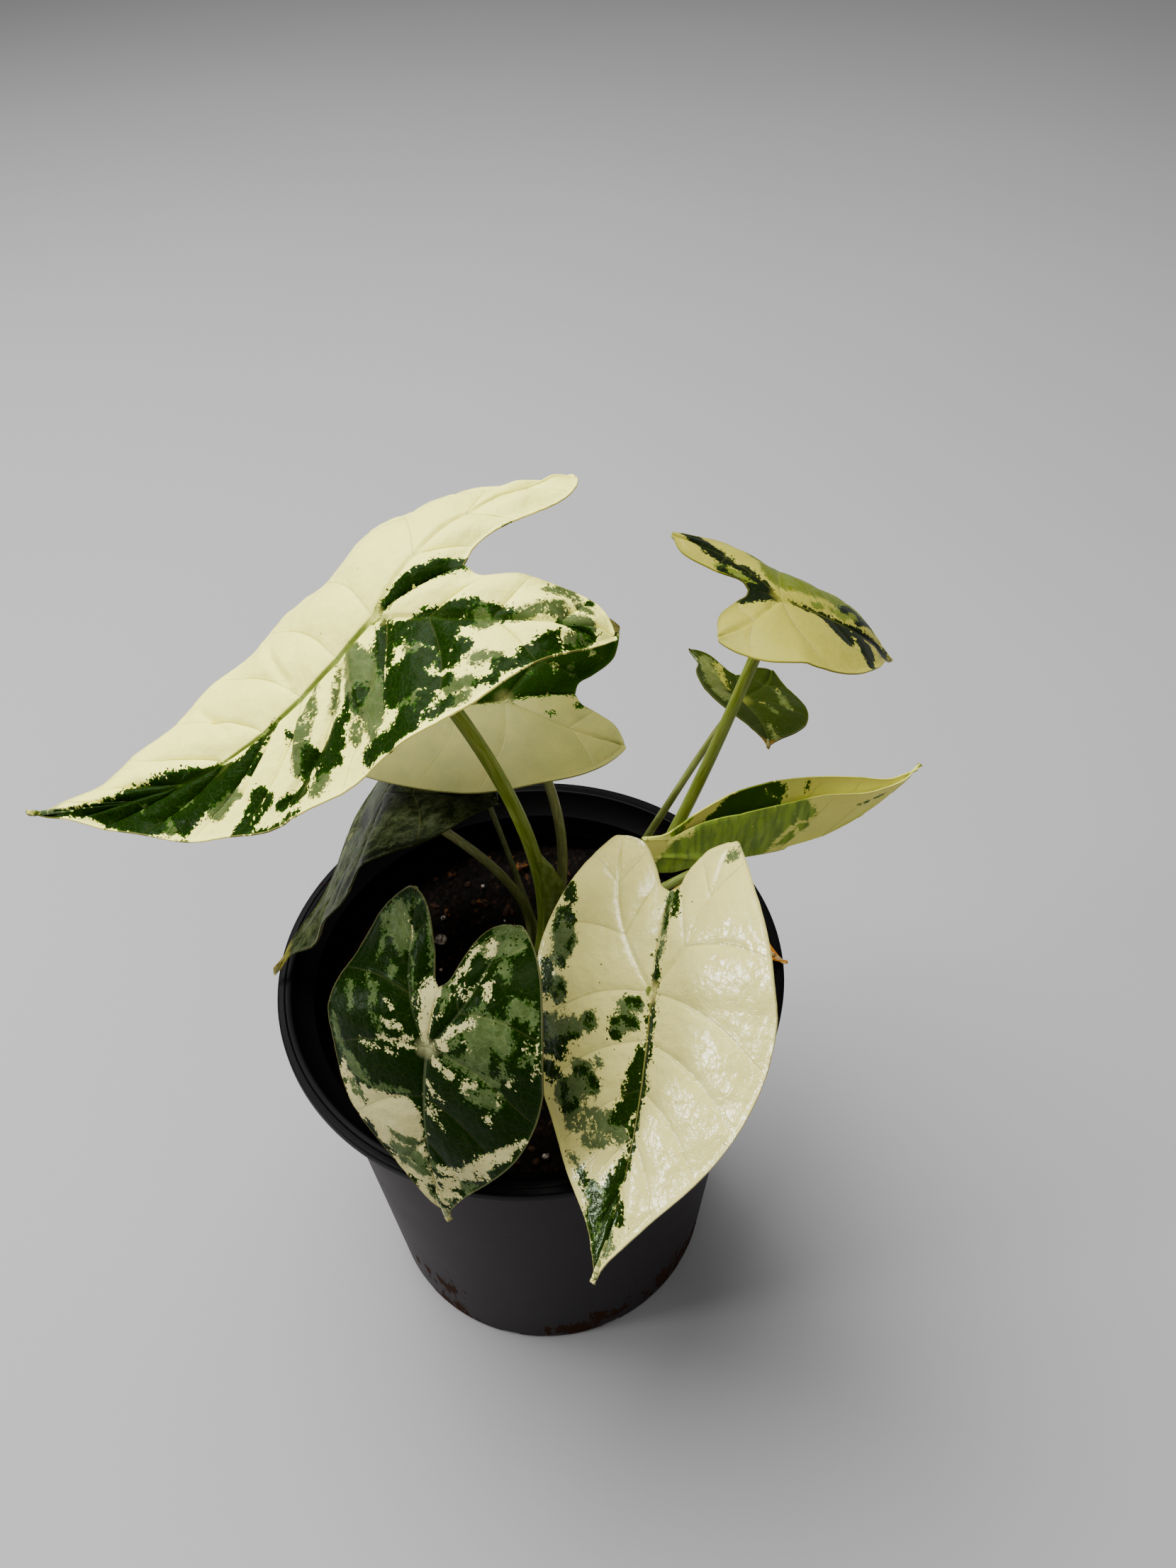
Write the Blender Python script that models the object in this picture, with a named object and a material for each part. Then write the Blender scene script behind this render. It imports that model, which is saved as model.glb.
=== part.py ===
"""Potted variegated frydek alocasia: nursery pot, soil, ten stems and ten leaf blades.

Lengths in the named values are millimetres and angles are degrees. The pot stands on z = 0
with its axis on Z, and the front of the plant looks along -Y.
"""
import math
import random
from dataclasses import dataclass

import bmesh
import bpy
import numpy as np
from mathutils import Matrix, Vector

MM = 0.001
GAP = 0.3

# Pot: a tapered nursery pot with a flat rim, standing on ten feet
POT_HEIGHT = 140.0
RIM_RADIUS = 75.0
RIM_DEPTH = 3.6
RIM_ROUND = 0.7
MOUTH_RADIUS = 71.4
BODY_TOP_RADIUS = 66.0
BASE_RADIUS = 56.0
WALL = 1.6
SHOULDER = 5.0
SHOULDER_OUT = 4.2
FLOOR_RISE = 2.4
FLOOR_THICK = 1.6
PAD_RADIUS = 9.0
FOOT_INNER = 52.4
FOOT_OUTER = 55.2
FOOT_SLOPE = 1.4
FOOT_COUNT = 10
NOTCH_WIDTH = 6.0
NOTCH_LENGTH = 14.0
NOTCH_HEIGHT = 2.1
DRAIN_RADIUS = 4.5
DRAIN_CIRCLE = 34.0
DRAIN_COUNT = 6
POT_STEPS = 60

# Soil: nearly level, a little higher at the wall, with grains and chips standing out of it
SOIL_LEVEL = 119.5
SOIL_RISE_AT_WALL = 2.0
SOIL_RELIEF = 0.7
SOIL_RINGS = 5
SOIL_STEPS = 40
PERLITE_COUNT = 16
CHIP_COUNT = 14
GRAIN_REACH = 58.0
GRAIN_APART = 5.5
GRAIN_SIZE = (1.0, 1.9)
PERLITE_SHAPE = (1.0, 0.85, 0.8)
CHIP_SHAPE = (1.5, 0.7, 0.55)

# Crown: the ring on which the stems come up
CROWN_X, CROWN_Y = 9.0, 18.0
CROWN_RADIUS = 8.5
CROWN_FLAT = 16.0
HOLE_DEPTH = 8.0
STEM_SIDES = 8
STEM_STEPS = 8

# Blades: rows along the midrib, rows along a back lobe, and steps from a rib out to the margin
BLADE_THICK = 0.8
LONG_BLADE = 55.0
LONG_BLADE_ROWS = (10, 5, 4)
SHORT_BLADE_ROWS = (7, 4, 3)
CURL_STEPS = 12
MITRE_LIMIT = 1.7


@dataclass(frozen=True)
class Stem:
    """A leaf stalk: where it stands on the crown ring, and how it leaves and arrives."""
    place: float        # angle on the crown ring
    base: float         # radius in the soil
    top: float          # radius under the blade
    rise: float         # length of the pull at the foot
    lean: float         # lean of that pull from upright, towards the blade
    reach: float        # length of the pull at the top
    heading: float      # compass direction in which it arrives
    climb: float        # angle above level at which it arrives


@dataclass(frozen=True)
class Leaf:
    """An arrow-shaped blade. Pairs are (left half, right half), seen from the stem to the tip."""
    stem: Stem
    joint: tuple        # where the stem meets the blade
    heading: float      # direction of the midrib from the joint
    pitch: float        # climb of the midrib, negative where it hangs
    roll: float         # turn about the midrib, lifting the left half
    length: float       # joint to tip
    half: tuple         # width of each half
    lobe: tuple         # how far each back lobe reaches behind the joint
    spread: tuple       # distance of each lobe's tip from the midrib's line
    notch: float        # joint to the bottom of the notch between the lobes
    bend: tuple         # change of climb along the midrib: even part, part that grows
    sway: float         # sideways shift of the tip
    bow: float          # sideways bow of the midrib halfway
    fold: tuple         # rise of each half beside the midrib
    curl: tuple         # change of that rise out to the margin
    lobe_fold: tuple    # extra rise of each back lobe
    lift: tuple         # lift behind the joint: to the notch, left lobe, right lobe


LEAVES = {
    "large": Leaf(
        Stem(208, 2.3, 1.9, 34, -19, 50, 165, 54), (-29.5, 6.5, 266), 179, -42, -17, 109,
        half=(38, 34), lobe=(55, 58), spread=(24.5, 24), notch=25, bend=(-9, 59), sway=-1, bow=6.5,
        fold=(-1, 11), curl=(9, -51), lobe_fold=(-6, -9), lift=(-28, -48, 0)),
    "shaded": Leaf(
        Stem(100, 1.7, 1.4, 27, -15, 43, 140, 50), (-1.5, 44.5, 204.5), 186, -4, -16, 66,
        half=(33, 33), lobe=(32, 34), spread=(18, 20), notch=21, bend=(-17, 1), sway=0.5, bow=-2,
        fold=(11, 20), curl=(0, -5), lobe_fold=(-5, 18), lift=(-27, -3, -4)),
    "draped": Leaf(
        Stem(165, 1.6, 1.3, 36, -5, 28, 160, 40), (-38.5, 35.5, 180.5), 185, -50, -10, 57,
        half=(35, 34), lobe=(33, 34), spread=(22, 21), notch=17, bend=(-6, 47), sway=29, bow=7,
        fold=(26, -28), curl=(0, 0), lobe_fold=(-29, 0), lift=(-25, -35, -55)),
    "front_left": Leaf(
        Stem(243, 1.7, 1.4, 30, 10, 32, 245, 25), (-26.5, -58, 186), 246, -67, 6, 58,
        half=(31, 30), lobe=(35, 36), spread=(11.5, 12), notch=15.5, bend=(-20, 4), sway=5.5, bow=-1,
        fold=(3, 7), curl=(-5, -27), lobe_fold=(15, -17), lift=(-29, -62, 40)),
    "front_right": Leaf(
        Stem(276, 1.8, 1.5, 28, 10, 30, 285, 35), (28.5, -50.5, 190), 256, -43, 28, 72,
        half=(37, 36), lobe=(36, 38), spread=(16.5, 17), notch=25, bend=(-2, 16), sway=-5.5, bow=0.5,
        fold=(8, 4), curl=(-4, -14), lobe_fold=(16, 2), lift=(-21, -29, 14)),
    "rolled": Leaf(
        Stem(308, 1.6, 1.3, 24, 10, 26, 345, 40), (56.5, -4, 184), 20, 0, 18, 68,
        half=(22, 20), lobe=(29, 28), spread=(20, 12), notch=11.5, bend=(-4, 3), sway=5.5, bow=-5,
        fold=(60, 84), curl=(8, 27), lobe_fold=(10, 21), lift=(0, 5, 4)),
    "high": Leaf(
        Stem(342, 1.9, 1.5, 51, 30, 51, -10, 75), (65, 3.5, 265), -3, -26, -4, 43,
        half=(24, 26), lobe=(25, 17), spread=(16, 15), notch=8.5, bend=(-21, -13), sway=10, bow=-0.5,
        fold=(11, 4), curl=(-48, -6), lobe_fold=(21, -18), lift=(-14, -7, -1)),
    "small": Leaf(
        Stem(52, 1.3, 1.0, 38, 35, 28, 10, 55), (63.5, 28, 212.5), -91, 10, -13, 23,
        half=(19, 14), lobe=(17, 18), spread=(12, 13), notch=11, bend=(-5, 2), sway=3.5, bow=3,
        fold=(5, 23), curl=(-13, -8), lobe_fold=(-8, -12), lift=(10, 11, 7)),
    "old": Leaf(
        Stem(15, 1.2, 0.9, 13, 10, 14, -20, 25), (48, 8, 146), -32, -4, 0, 31,
        half=(10, 10), lobe=(9, 9), spread=(5, 5), notch=4, bend=(-6, 0), sway=0, bow=0,
        fold=(12, 12), curl=(-20, -20), lobe_fold=(0, 0), lift=(-15, -20, -20)),
    "rear": Leaf(
        Stem(132, 1.1, 0.8, 20, 35, 21, 115, 40), (-15, 60, 172), 160, -25, 0, 25,
        half=(11, 11), lobe=(12, 12), spread=(6, 6), notch=5, bend=(-15, 0), sway=0, bow=0,
        fold=(12, 12), curl=(-15, -15), lobe_fold=(0, 0), lift=(-10, -15, -15)),
}

# Blade outline, as fractions: (along, across) of the half from the tip to the lobe's tip
FRONT_OUTLINE = ((1.0, 0.0), (0.93, 0.05), (0.80, 0.22), (0.60, 0.55), (0.36, 0.85), (0.08, 1.0))
BACK_OUTLINE = ((-0.30, 0.98, 0.0), (-0.68, 0.86, 0.02), (-0.93, 0.31, 0.5), (-1.0, 0.0, 1.0))
NOTCH_OUTLINE = ((1.0, 1.0), (0.84, 0.62), (0.45, 0.34), (0.12, 0.18), (0.0, 0.0))
JOINT_ON_MARGIN = 4.6 / 9
RIB_ARCH = 0.12


def material(name, colour, roughness):
    """A plain Principled material for one sub-part."""
    mat = bpy.data.materials.new(name)
    mat.use_nodes = True
    shader = mat.node_tree.nodes["Principled BSDF"]
    shader.inputs["Base Color"].default_value = (*colour, 1.0)
    shader.inputs["Roughness"].default_value = roughness
    shader.inputs["Metallic"].default_value = 0.0
    return mat


def make_object(name, bm, mat, sharp_angle=40):
    """Turn a bmesh in metres into a named object with its own material."""
    bmesh.ops.recalc_face_normals(bm, faces=bm.faces)
    mesh = bpy.data.meshes.new(name)
    bm.to_mesh(mesh)
    bm.free()
    mesh.materials.append(mat)
    mesh.shade_smooth()
    mesh.set_sharp_from_angle(angle=math.radians(sharp_angle))
    obj = bpy.data.objects.new(name, mesh)
    bpy.context.scene.collection.objects.link(obj)
    return obj


def cut_with(obj, cutter, operation="DIFFERENCE"):
    """Cut or join one object by a hidden one."""
    cutter.hide_render = True
    cutter.display_type = "WIRE"
    mod = obj.modifiers.new(cutter.name, "BOOLEAN")
    mod.operation = operation
    mod.object = cutter


def add_rod(bm, middle, radius, length, sides=12):
    """Add an upright rod, given in millimetres, to a bmesh in metres."""
    bmesh.ops.create_cone(bm, cap_ends=True, segments=sides, radius1=radius * MM, radius2=radius * MM,
                          depth=length * MM, matrix=Matrix.Translation(middle * MM))


def turn(profile, steps):
    """Revolve (radius, height) points about Z. Points at radius 0 close on the axis."""
    bm = bmesh.new()
    rings = []
    for radius, height in profile:
        if radius == 0.0:
            rings.append([bm.verts.new((0, 0, height * MM))] * steps)
            continue
        turns = (2 * math.pi * i / steps for i in range(steps))
        rings.append([bm.verts.new((radius * math.cos(a) * MM, radius * math.sin(a) * MM, height * MM))
                      for a in turns])
    for near, far in zip(rings, rings[1:]):
        for i in range(steps):
            j = (i + 1) % steps
            corners = list(dict.fromkeys((near[i], near[j], far[j], far[i])))
            bm.faces.new(corners)
    return bm


def body_radius(height):
    """Outer radius of the pot's tapered body."""
    top = POT_HEIGHT - RIM_DEPTH - SHOULDER
    return BASE_RADIUS + (BODY_TOP_RADIUS - BASE_RADIUS) * height / top


def pot():
    """Nursery pot: taper, shoulder, flat rim, raised floor with drains, foot ring and middle pad."""
    rim_under = POT_HEIGHT - RIM_DEPTH
    neck = rim_under - SHOULDER
    floor_top = FLOOR_RISE + FLOOR_THICK
    underside = [
        (0.0, 0.0),
        (PAD_RADIUS, 0.0),
        (PAD_RADIUS + FOOT_SLOPE, FLOOR_RISE),
        (FOOT_INNER - FOOT_SLOPE, FLOOR_RISE),
        (FOOT_INNER, 0.0),
        (FOOT_OUTER, 0.0),
    ]
    outside = [
        (body_radius(FOOT_SLOPE), FOOT_SLOPE),
        (body_radius(neck / 2), neck / 2),
        (BODY_TOP_RADIUS, neck),
        (BODY_TOP_RADIUS + SHOULDER_OUT * 0.4, neck + SHOULDER * 0.6),
        (BODY_TOP_RADIUS + SHOULDER_OUT, rim_under),
        (RIM_RADIUS - RIM_ROUND, rim_under),
        (RIM_RADIUS, rim_under + RIM_ROUND),
        (RIM_RADIUS, POT_HEIGHT - RIM_ROUND),
        (RIM_RADIUS - RIM_ROUND, POT_HEIGHT),
        (MOUTH_RADIUS, POT_HEIGHT),
    ]
    inside = [
        (MOUTH_RADIUS - RIM_ROUND, POT_HEIGHT - RIM_ROUND),
        (BODY_TOP_RADIUS + SHOULDER_OUT / 2, rim_under - RIM_ROUND),
        (BODY_TOP_RADIUS - WALL / 2, neck + SHOULDER / 2),
        (BODY_TOP_RADIUS - WALL, neck - WALL),
        (body_radius(floor_top) - WALL, floor_top),
        (0.0, floor_top),
    ]
    profile = underside + outside + inside
    obj = make_object("pot", turn(profile, POT_STEPS), material("pot_plastic", (0.040, 0.037, 0.040), 0.42))

    cutter = bmesh.new()
    for i in range(FOOT_COUNT):
        angle = math.radians(-90 + 360 / FOOT_COUNT * (i + 0.5))
        where = Matrix.Rotation(angle, 4, "Z") @ Matrix.Translation((BASE_RADIUS * MM, 0, 0))
        size = Matrix.Diagonal(Vector((NOTCH_LENGTH, NOTCH_WIDTH, 2 * NOTCH_HEIGHT)) * MM).to_4x4()
        bmesh.ops.create_cube(cutter, size=1.0, matrix=where @ size)
    for i in range(DRAIN_COUNT):
        angle = math.radians(360 / DRAIN_COUNT * i)
        where = Vector((DRAIN_CIRCLE * math.cos(angle), DRAIN_CIRCLE * math.sin(angle), floor_top / 2))
        add_rod(cutter, where, DRAIN_RADIUS, 2 * floor_top)
    cut_with(obj, make_object("pot_cutter", cutter, obj.data.materials[0]))
    return obj


def soil_height(x, y):
    """Height of the soil's surface: flat at the crown, gently uneven, higher by the wall."""
    out = min(1.0, math.hypot(x, y) / BODY_TOP_RADIUS)
    waves = math.sin(0.21 * x + 1.0) * math.cos(0.17 * y) + 0.6 * math.sin(0.37 * y - 0.29 * x)
    away = min(1.0, max(0.0, math.hypot(x - CROWN_X, y - CROWN_Y) / CROWN_FLAT - 1.0))
    return SOIL_LEVEL + away * (SOIL_RELIEF * waves + SOIL_RISE_AT_WALL * out ** 4)


def stem_foot(stem):
    """Where a stem leaves the soil, on the crown ring."""
    angle = math.radians(stem.place)
    return Vector((CROWN_X + CROWN_RADIUS * math.cos(angle), CROWN_Y + CROWN_RADIUS * math.sin(angle),
                   SOIL_LEVEL))


def grains():
    """Perlite and bark chips, strewn over the soil clear of the crown and half sunk in it."""
    rng = random.Random(7)
    bm = bmesh.new()
    placed = []
    while len(placed) < PERLITE_COUNT + CHIP_COUNT:
        angle = rng.uniform(0, 2 * math.pi)
        far = GRAIN_REACH * math.sqrt(rng.random())
        x, y = far * math.cos(angle), far * math.sin(angle)
        free = all(math.hypot(x - a, y - b) > GRAIN_APART for a, b in placed)
        if not free or math.hypot(x - CROWN_X, y - CROWN_Y) < CROWN_FLAT:
            continue
        shape = Vector(PERLITE_SHAPE if len(placed) < PERLITE_COUNT else CHIP_SHAPE)
        placed.append((x, y))
        where = Matrix.Translation(Vector((x, y, soil_height(x, y))) * MM)
        spin = Matrix.Rotation(rng.uniform(0, math.pi), 4, "Z")
        size = Matrix.Diagonal(shape * rng.uniform(*GRAIN_SIZE) * MM).to_4x4()
        bmesh.ops.create_icosphere(bm, subdivisions=1, radius=1.0, matrix=where @ spin @ size)
    return bm


def soil():
    """Soil that fills the pot, with a plain hole for each stem, and grains standing out of it."""
    low = FLOOR_RISE + FLOOR_THICK + GAP
    high = SOIL_LEVEL - 2 * SOIL_RISE_AT_WALL
    clear = WALL + 2 * GAP
    edge = body_radius(SOIL_LEVEL) - clear
    profile = [(0.0, low), (body_radius(low) - clear, low), (body_radius(high) - clear, high)]
    profile += [(edge * (1 - i / SOIL_RINGS) ** 0.8, SOIL_LEVEL) for i in range(SOIL_RINGS)]
    profile += [(0.0, SOIL_LEVEL)]
    bm = turn(profile, SOIL_STEPS)
    for vert in bm.verts:
        if vert.co.z > (high + GAP) * MM:
            vert.co.z = soil_height(vert.co.x / MM, vert.co.y / MM) * MM
    obj = make_object("soil", bm, material("soil", (0.030, 0.018, 0.012), 0.95))
    cut_with(obj, make_object("soil_grains", grains(), obj.data.materials[0]), "UNION")

    holes = bmesh.new()
    for leaf in LEAVES.values():
        add_rod(holes, stem_foot(leaf.stem), leaf.stem.base + GAP, 2 * HOLE_DEPTH)
    cut_with(obj, make_object("soil_holes", holes, obj.data.materials[0]))
    return obj


def direction(heading, climb):
    """Unit vector of a compass heading and a climb."""
    h, c = math.radians(heading), math.radians(climb)
    return Vector((math.cos(h) * math.cos(c), math.sin(h) * math.cos(c), math.sin(c)))


def leaf_axes(leaf):
    """Blade axes at the joint: along the midrib, across to the left, and up out of the blade."""
    along = direction(leaf.heading, leaf.pitch)
    level = direction(leaf.heading + 90, 0)
    up = along.cross(level)
    turned = math.radians(leaf.roll)
    across = level * math.cos(turned) + up * math.sin(turned)
    return along, across, along.cross(across)


def smooth_through(points, steps_per_span):
    """Even steps along the smooth curve through a few points."""
    pts = np.array(points, float)
    pts = np.vstack([2 * pts[0] - pts[1], pts, 2 * pts[-1] - pts[-2]])
    spans = len(pts) - 3
    found = []
    for step in range(spans * steps_per_span + 1):
        i = min(step // steps_per_span, spans - 1)
        t = step / steps_per_span - i
        a, b, c, d = pts[i:i + 4]
        found.append(0.5 * (2 * b + (c - a) * t + (2 * a - 5 * b + 4 * c - d) * t ** 2
                            + (3 * b - a - 3 * c + d) * t ** 3))
    return np.array(found)


def outline(leaf, side, steps_per_span=20):
    """Flat margin of one half: tip to lobe tip, and lobe tip back to the notch."""
    half, lobe, spread = leaf.half[side], leaf.lobe[side], leaf.spread[side]
    outer = [(leaf.length * x, half * y) for x, y in FRONT_OUTLINE]
    outer += [(lobe * x, half * y + spread * z) for x, y, z in BACK_OUTLINE]
    inner = [(-leaf.notch - (lobe - leaf.notch) * x, spread * y) for x, y in NOTCH_OUTLINE]
    curve = smooth_through(outer + inner[1:], steps_per_span)
    lobe_tip = (len(outer) - 1) * steps_per_span
    return curve[:lobe_tip + 1], curve[lobe_tip:]


def flat_blade(leaf, front, back, across):
    """Flat blade as rows between its ribs and its margin, in (x, y) with y to the left."""
    bm = bmesh.new()

    def fill(rows, flip):
        made = [[bm.verts.new((x, y, 0)) for x, y in row] for row in rows]
        for near, far in zip(made, made[1:]):
            for j in range(len(near) - 1):
                a, b, c, d = near[j], near[j + 1], far[j + 1], far[j]
                pieces = ((a, b, c), (a, c, d)) if flip else ((a, c, b), (a, d, c))
                for piece in pieces:
                    bm.faces.new(piece)

    for side, sign in ((0, 1), (1, -1)):
        outer, inner = outline(leaf, side)
        last, last_in = len(outer) - 1, len(inner) - 1
        rib, edge = [], []
        for i in range(front + 1):
            t = i / front
            rib.append((leaf.length * (1 - t), 0.0))
            edge.append(outer[round(JOINT_ON_MARGIN * t * last)])
        rows_in = []
        for i in range(back + 1):
            t = i / back
            arch = RIB_ARCH * leaf.half[side] * math.sin(math.pi * t)
            side_rib = (-leaf.lobe[side] * t, leaf.spread[side] * t + arch)
            if i:
                rib.append(side_rib)
                edge.append(outer[round((JOINT_ON_MARGIN + (1 - JOINT_ON_MARGIN) * t) * last)])
            rows_in.append((side_rib, inner[round((1 - t) * last_in)]))
        steps = [j / across for j in range(across + 1)]
        out_rows = [[(r[0] + (e[0] - r[0]) * s, sign * (r[1] + (e[1] - r[1]) * s)) for s in steps]
                    for r, e in zip(rib, edge)]
        in_rows = [[(r[0] + (e[0] - r[0]) * s, sign * (r[1] + (e[1] - r[1]) * s)) for s in steps]
                   for r, e in rows_in]
        fill(out_rows, sign > 0)
        fill(in_rows, sign < 0)
    bmesh.ops.remove_doubles(bm, verts=bm.verts, dist=0.01)
    bmesh.ops.dissolve_degenerate(bm, edges=bm.edges, dist=0.001)
    return bm


def midrib(leaf, side):
    """Arc of the midrib's line in its own plane: x, rise and slope at even steps."""
    reach = max(leaf.lobe)
    x = np.linspace(-1.3 * reach, 1.05 * leaf.length, 400)
    ahead = np.clip(x / leaf.length, 0, None)
    near = np.clip(-x / leaf.notch, 0, 1)
    behind = np.clip((-x - leaf.notch) / (reach - leaf.notch), 0, None)
    slope = np.radians(leaf.bend[0] * ahead + leaf.bend[1] * ahead ** 2
                       - leaf.lift[0] * near - leaf.lift[1 + side] * behind)
    step = np.diff(x)
    level = np.concatenate([[0], np.cumsum((np.cos(slope[1:]) + np.cos(slope[:-1])) / 2 * step)])
    rise = np.concatenate([[0], np.cumsum((np.sin(slope[1:]) + np.sin(slope[:-1])) / 2 * step)])
    return x, level - np.interp(0, x, level), rise - np.interp(0, x, rise), slope


def bend_blade(leaf, bm):
    """Carry the flat blade to its place: folded at the midrib, curled, drooping and turned."""
    along, across, up = leaf_axes(leaf)
    lines = midrib(leaf, 0), midrib(leaf, 1)
    joint = Vector(leaf.joint)
    for vert in bm.verts:
        x, y = vert.co.x, vert.co.y
        side = 0 if y > 0 else 1
        out = abs(y)
        xs, level, rise, slope = lines[side]
        level, rise, slope = (float(np.interp(x, xs, line)) for line in (level, rise, slope))
        ahead = max(0.0, x / leaf.length)
        edge = min(1.0, out / leaf.half[side])
        shift = leaf.sway * ahead ** 2 + leaf.bow * math.sin(math.pi * min(1.0, ahead)) * (1 - 0.8 * edge)
        behind = min(1.0, max(0.0, -x / leaf.lobe[side]))
        start = math.radians(leaf.fold[side] + leaf.lobe_fold[side] * behind)
        turn_per_mm = math.radians(leaf.curl[side]) / leaf.half[side]
        angles = [start + turn_per_mm * out * (i + 0.5) / CURL_STEPS for i in range(CURL_STEPS)]
        sideways = out * sum(map(math.cos, angles)) / CURL_STEPS
        height = out * sum(map(math.sin, angles)) / CURL_STEPS
        flat = Vector((level - math.sin(slope) * height,
                       (sideways if side == 0 else -sideways) + shift,
                       rise + math.cos(slope) * height))
        vert.co = (joint + along * flat.x + across * flat.y + up * flat.z) * MM


def thicken(bm, thickness):
    """Close a one-sided sheet into a solid whose two faces are triangulated alike."""
    bm.normal_update()
    sheet = list(bm.faces)
    rim = [edge for edge in bm.edges if edge.is_boundary]
    reach = {v: v.normal * min(MITRE_LIMIT, v.calc_shell_factor()) * thickness / 2 for v in bm.verts}
    under = {v: bm.verts.new(v.co - reach[v]) for v in reach}
    for vert, offset in reach.items():
        vert.co += offset
    for edge in rim:
        face = edge.link_faces[0]
        a, b = edge.verts
        loop = next(corner for corner in face.loops if corner.edge == edge)
        if loop.vert != a:
            a, b = b, a
        bm.faces.new((b, a, under[a]))
        bm.faces.new((b, under[a], under[b]))
    for face in sheet:
        bm.faces.new([under[v] for v in reversed(face.verts)])


def blade(name, leaf, mat):
    """One leaf blade, as a thin closed solid."""
    rows = LONG_BLADE_ROWS if leaf.length > LONG_BLADE else SHORT_BLADE_ROWS
    bm = flat_blade(leaf, *rows)
    bend_blade(leaf, bm)
    thicken(bm, BLADE_THICK * MM)
    return make_object(f"blade_{name}", bm, mat, sharp_angle=60)


def stem_path(leaf):
    """Centre line of a stem, from the bottom of its hole to just under the blade."""
    stem = leaf.stem
    up = leaf_axes(leaf)[2]
    hang = max(0.0, -min(leaf.fold))
    clear = BLADE_THICK / 2 + 1.5 * GAP + stem.top * math.tan(math.radians(hang))
    foot = stem_foot(stem)
    head = Vector(leaf.joint) - up * clear
    to_blade = math.degrees(math.atan2(head.y - foot.y, head.x - foot.x))
    pull_up = foot + direction(to_blade, 90 - stem.lean) * stem.rise
    pull_in = head - direction(stem.heading, stem.climb) * stem.reach
    path = [foot - Vector((0, 0, HOLE_DEPTH - GAP))]
    for i in range(STEM_STEPS + 1):
        t = i / STEM_STEPS
        path.append(foot * (1 - t) ** 3 + pull_up * 3 * t * (1 - t) ** 2
                    + pull_in * 3 * t ** 2 * (1 - t) + head * t ** 3)
    return path, up


def stem_solid(name, leaf, mat):
    """A tapered round stalk whose top is cut level with the underside of the blade."""
    path, up = stem_path(leaf)
    bm = bmesh.new()
    rings = []
    last = len(path) - 1
    for i, centre in enumerate(path):
        before, after = path[max(0, i - 1)], path[min(last, i + 1)]
        axis = up if i == last else Vector((0, 0, 1)) if i < 2 else (after - before).normalized()
        first = Vector((1, 0, 0)) - axis * axis.x
        if first.length < 0.3:
            first = Vector((0, 1, 0)) - axis * axis.y
        first.normalize()
        second = axis.cross(first)
        taper = max(0, i - 1) / (last - 1)
        radius = leaf.stem.base + (leaf.stem.top - leaf.stem.base) * taper
        ring = []
        for k in range(STEM_SIDES):
            a = 2 * math.pi * k / STEM_SIDES
            ring.append(bm.verts.new((centre + (first * math.cos(a) + second * math.sin(a)) * radius) * MM))
        rings.append(ring)
    for near, far in zip(rings, rings[1:]):
        for k in range(STEM_SIDES):
            n = (k + 1) % STEM_SIDES
            bm.faces.new((near[k], near[n], far[n], far[k]))
    bm.faces.new(rings[0][::-1])
    bm.faces.new(rings[-1])
    return make_object(f"stem_{name}", bm, mat)


def build():
    """Clear the scene and model every sub-part."""
    for obj in list(bpy.data.objects):
        bpy.data.objects.remove(obj)
    pot()
    soil()
    colours = {
        "large": (0.62, 0.60, 0.38), "shaded": (0.42, 0.42, 0.20), "draped": (0.10, 0.16, 0.08),
        "front_left": (0.08, 0.17, 0.06), "front_right": (0.60, 0.57, 0.38), "rolled": (0.38, 0.42, 0.12),
        "high": (0.55, 0.52, 0.22), "small": (0.06, 0.10, 0.05), "old": (0.45, 0.36, 0.06),
        "rear": (0.09, 0.17, 0.07),
    }
    for name, leaf in LEAVES.items():
        blade(name, leaf, material(f"leaf_{name}", colours[name], 0.4))
        stem_solid(name, leaf, material(f"stalk_{name}", (0.16, 0.20, 0.03), 0.5))


build()
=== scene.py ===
"""Potted variegated alocasia, dressed for the camera: pot, potting soil, ten stalks and ten blades.

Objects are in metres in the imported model's frame, +Z up, with the front of the plant towards -Y.
The tables of sizes and markings are in millimetres and degrees.
"""
import math
import random
from dataclasses import dataclass
from functools import partial

import bpy
import numpy as np
from mathutils import Matrix, Vector, noise


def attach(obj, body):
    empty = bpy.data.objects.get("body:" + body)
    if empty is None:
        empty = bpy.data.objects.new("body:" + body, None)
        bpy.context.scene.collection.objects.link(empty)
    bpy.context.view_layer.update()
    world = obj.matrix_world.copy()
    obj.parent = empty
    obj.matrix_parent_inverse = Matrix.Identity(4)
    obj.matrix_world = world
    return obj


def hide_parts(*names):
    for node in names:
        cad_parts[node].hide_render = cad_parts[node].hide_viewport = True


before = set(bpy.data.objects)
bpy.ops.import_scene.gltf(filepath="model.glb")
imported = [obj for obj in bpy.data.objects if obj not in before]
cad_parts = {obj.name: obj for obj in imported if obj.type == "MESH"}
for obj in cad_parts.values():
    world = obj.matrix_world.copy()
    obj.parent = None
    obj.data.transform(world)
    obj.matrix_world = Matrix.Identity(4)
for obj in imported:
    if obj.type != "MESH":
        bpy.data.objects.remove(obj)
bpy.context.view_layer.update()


# Camera, table and light
# The plant stands on a plain pale grey table under large soft white panels. The camera is close,
# above the front of the pot, and looks down at 45 degrees with a slight turn to the right.
CAMERA_PLACE = Vector((0.0, -0.23191, 0.44673))
CAMERA_DOWN, CAMERA_TURN, CAMERA_ROLL = 45.189, 4.529, -1.497
CAMERA_LENS = 29.29
TABLE_SIZE = 8.0


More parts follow.
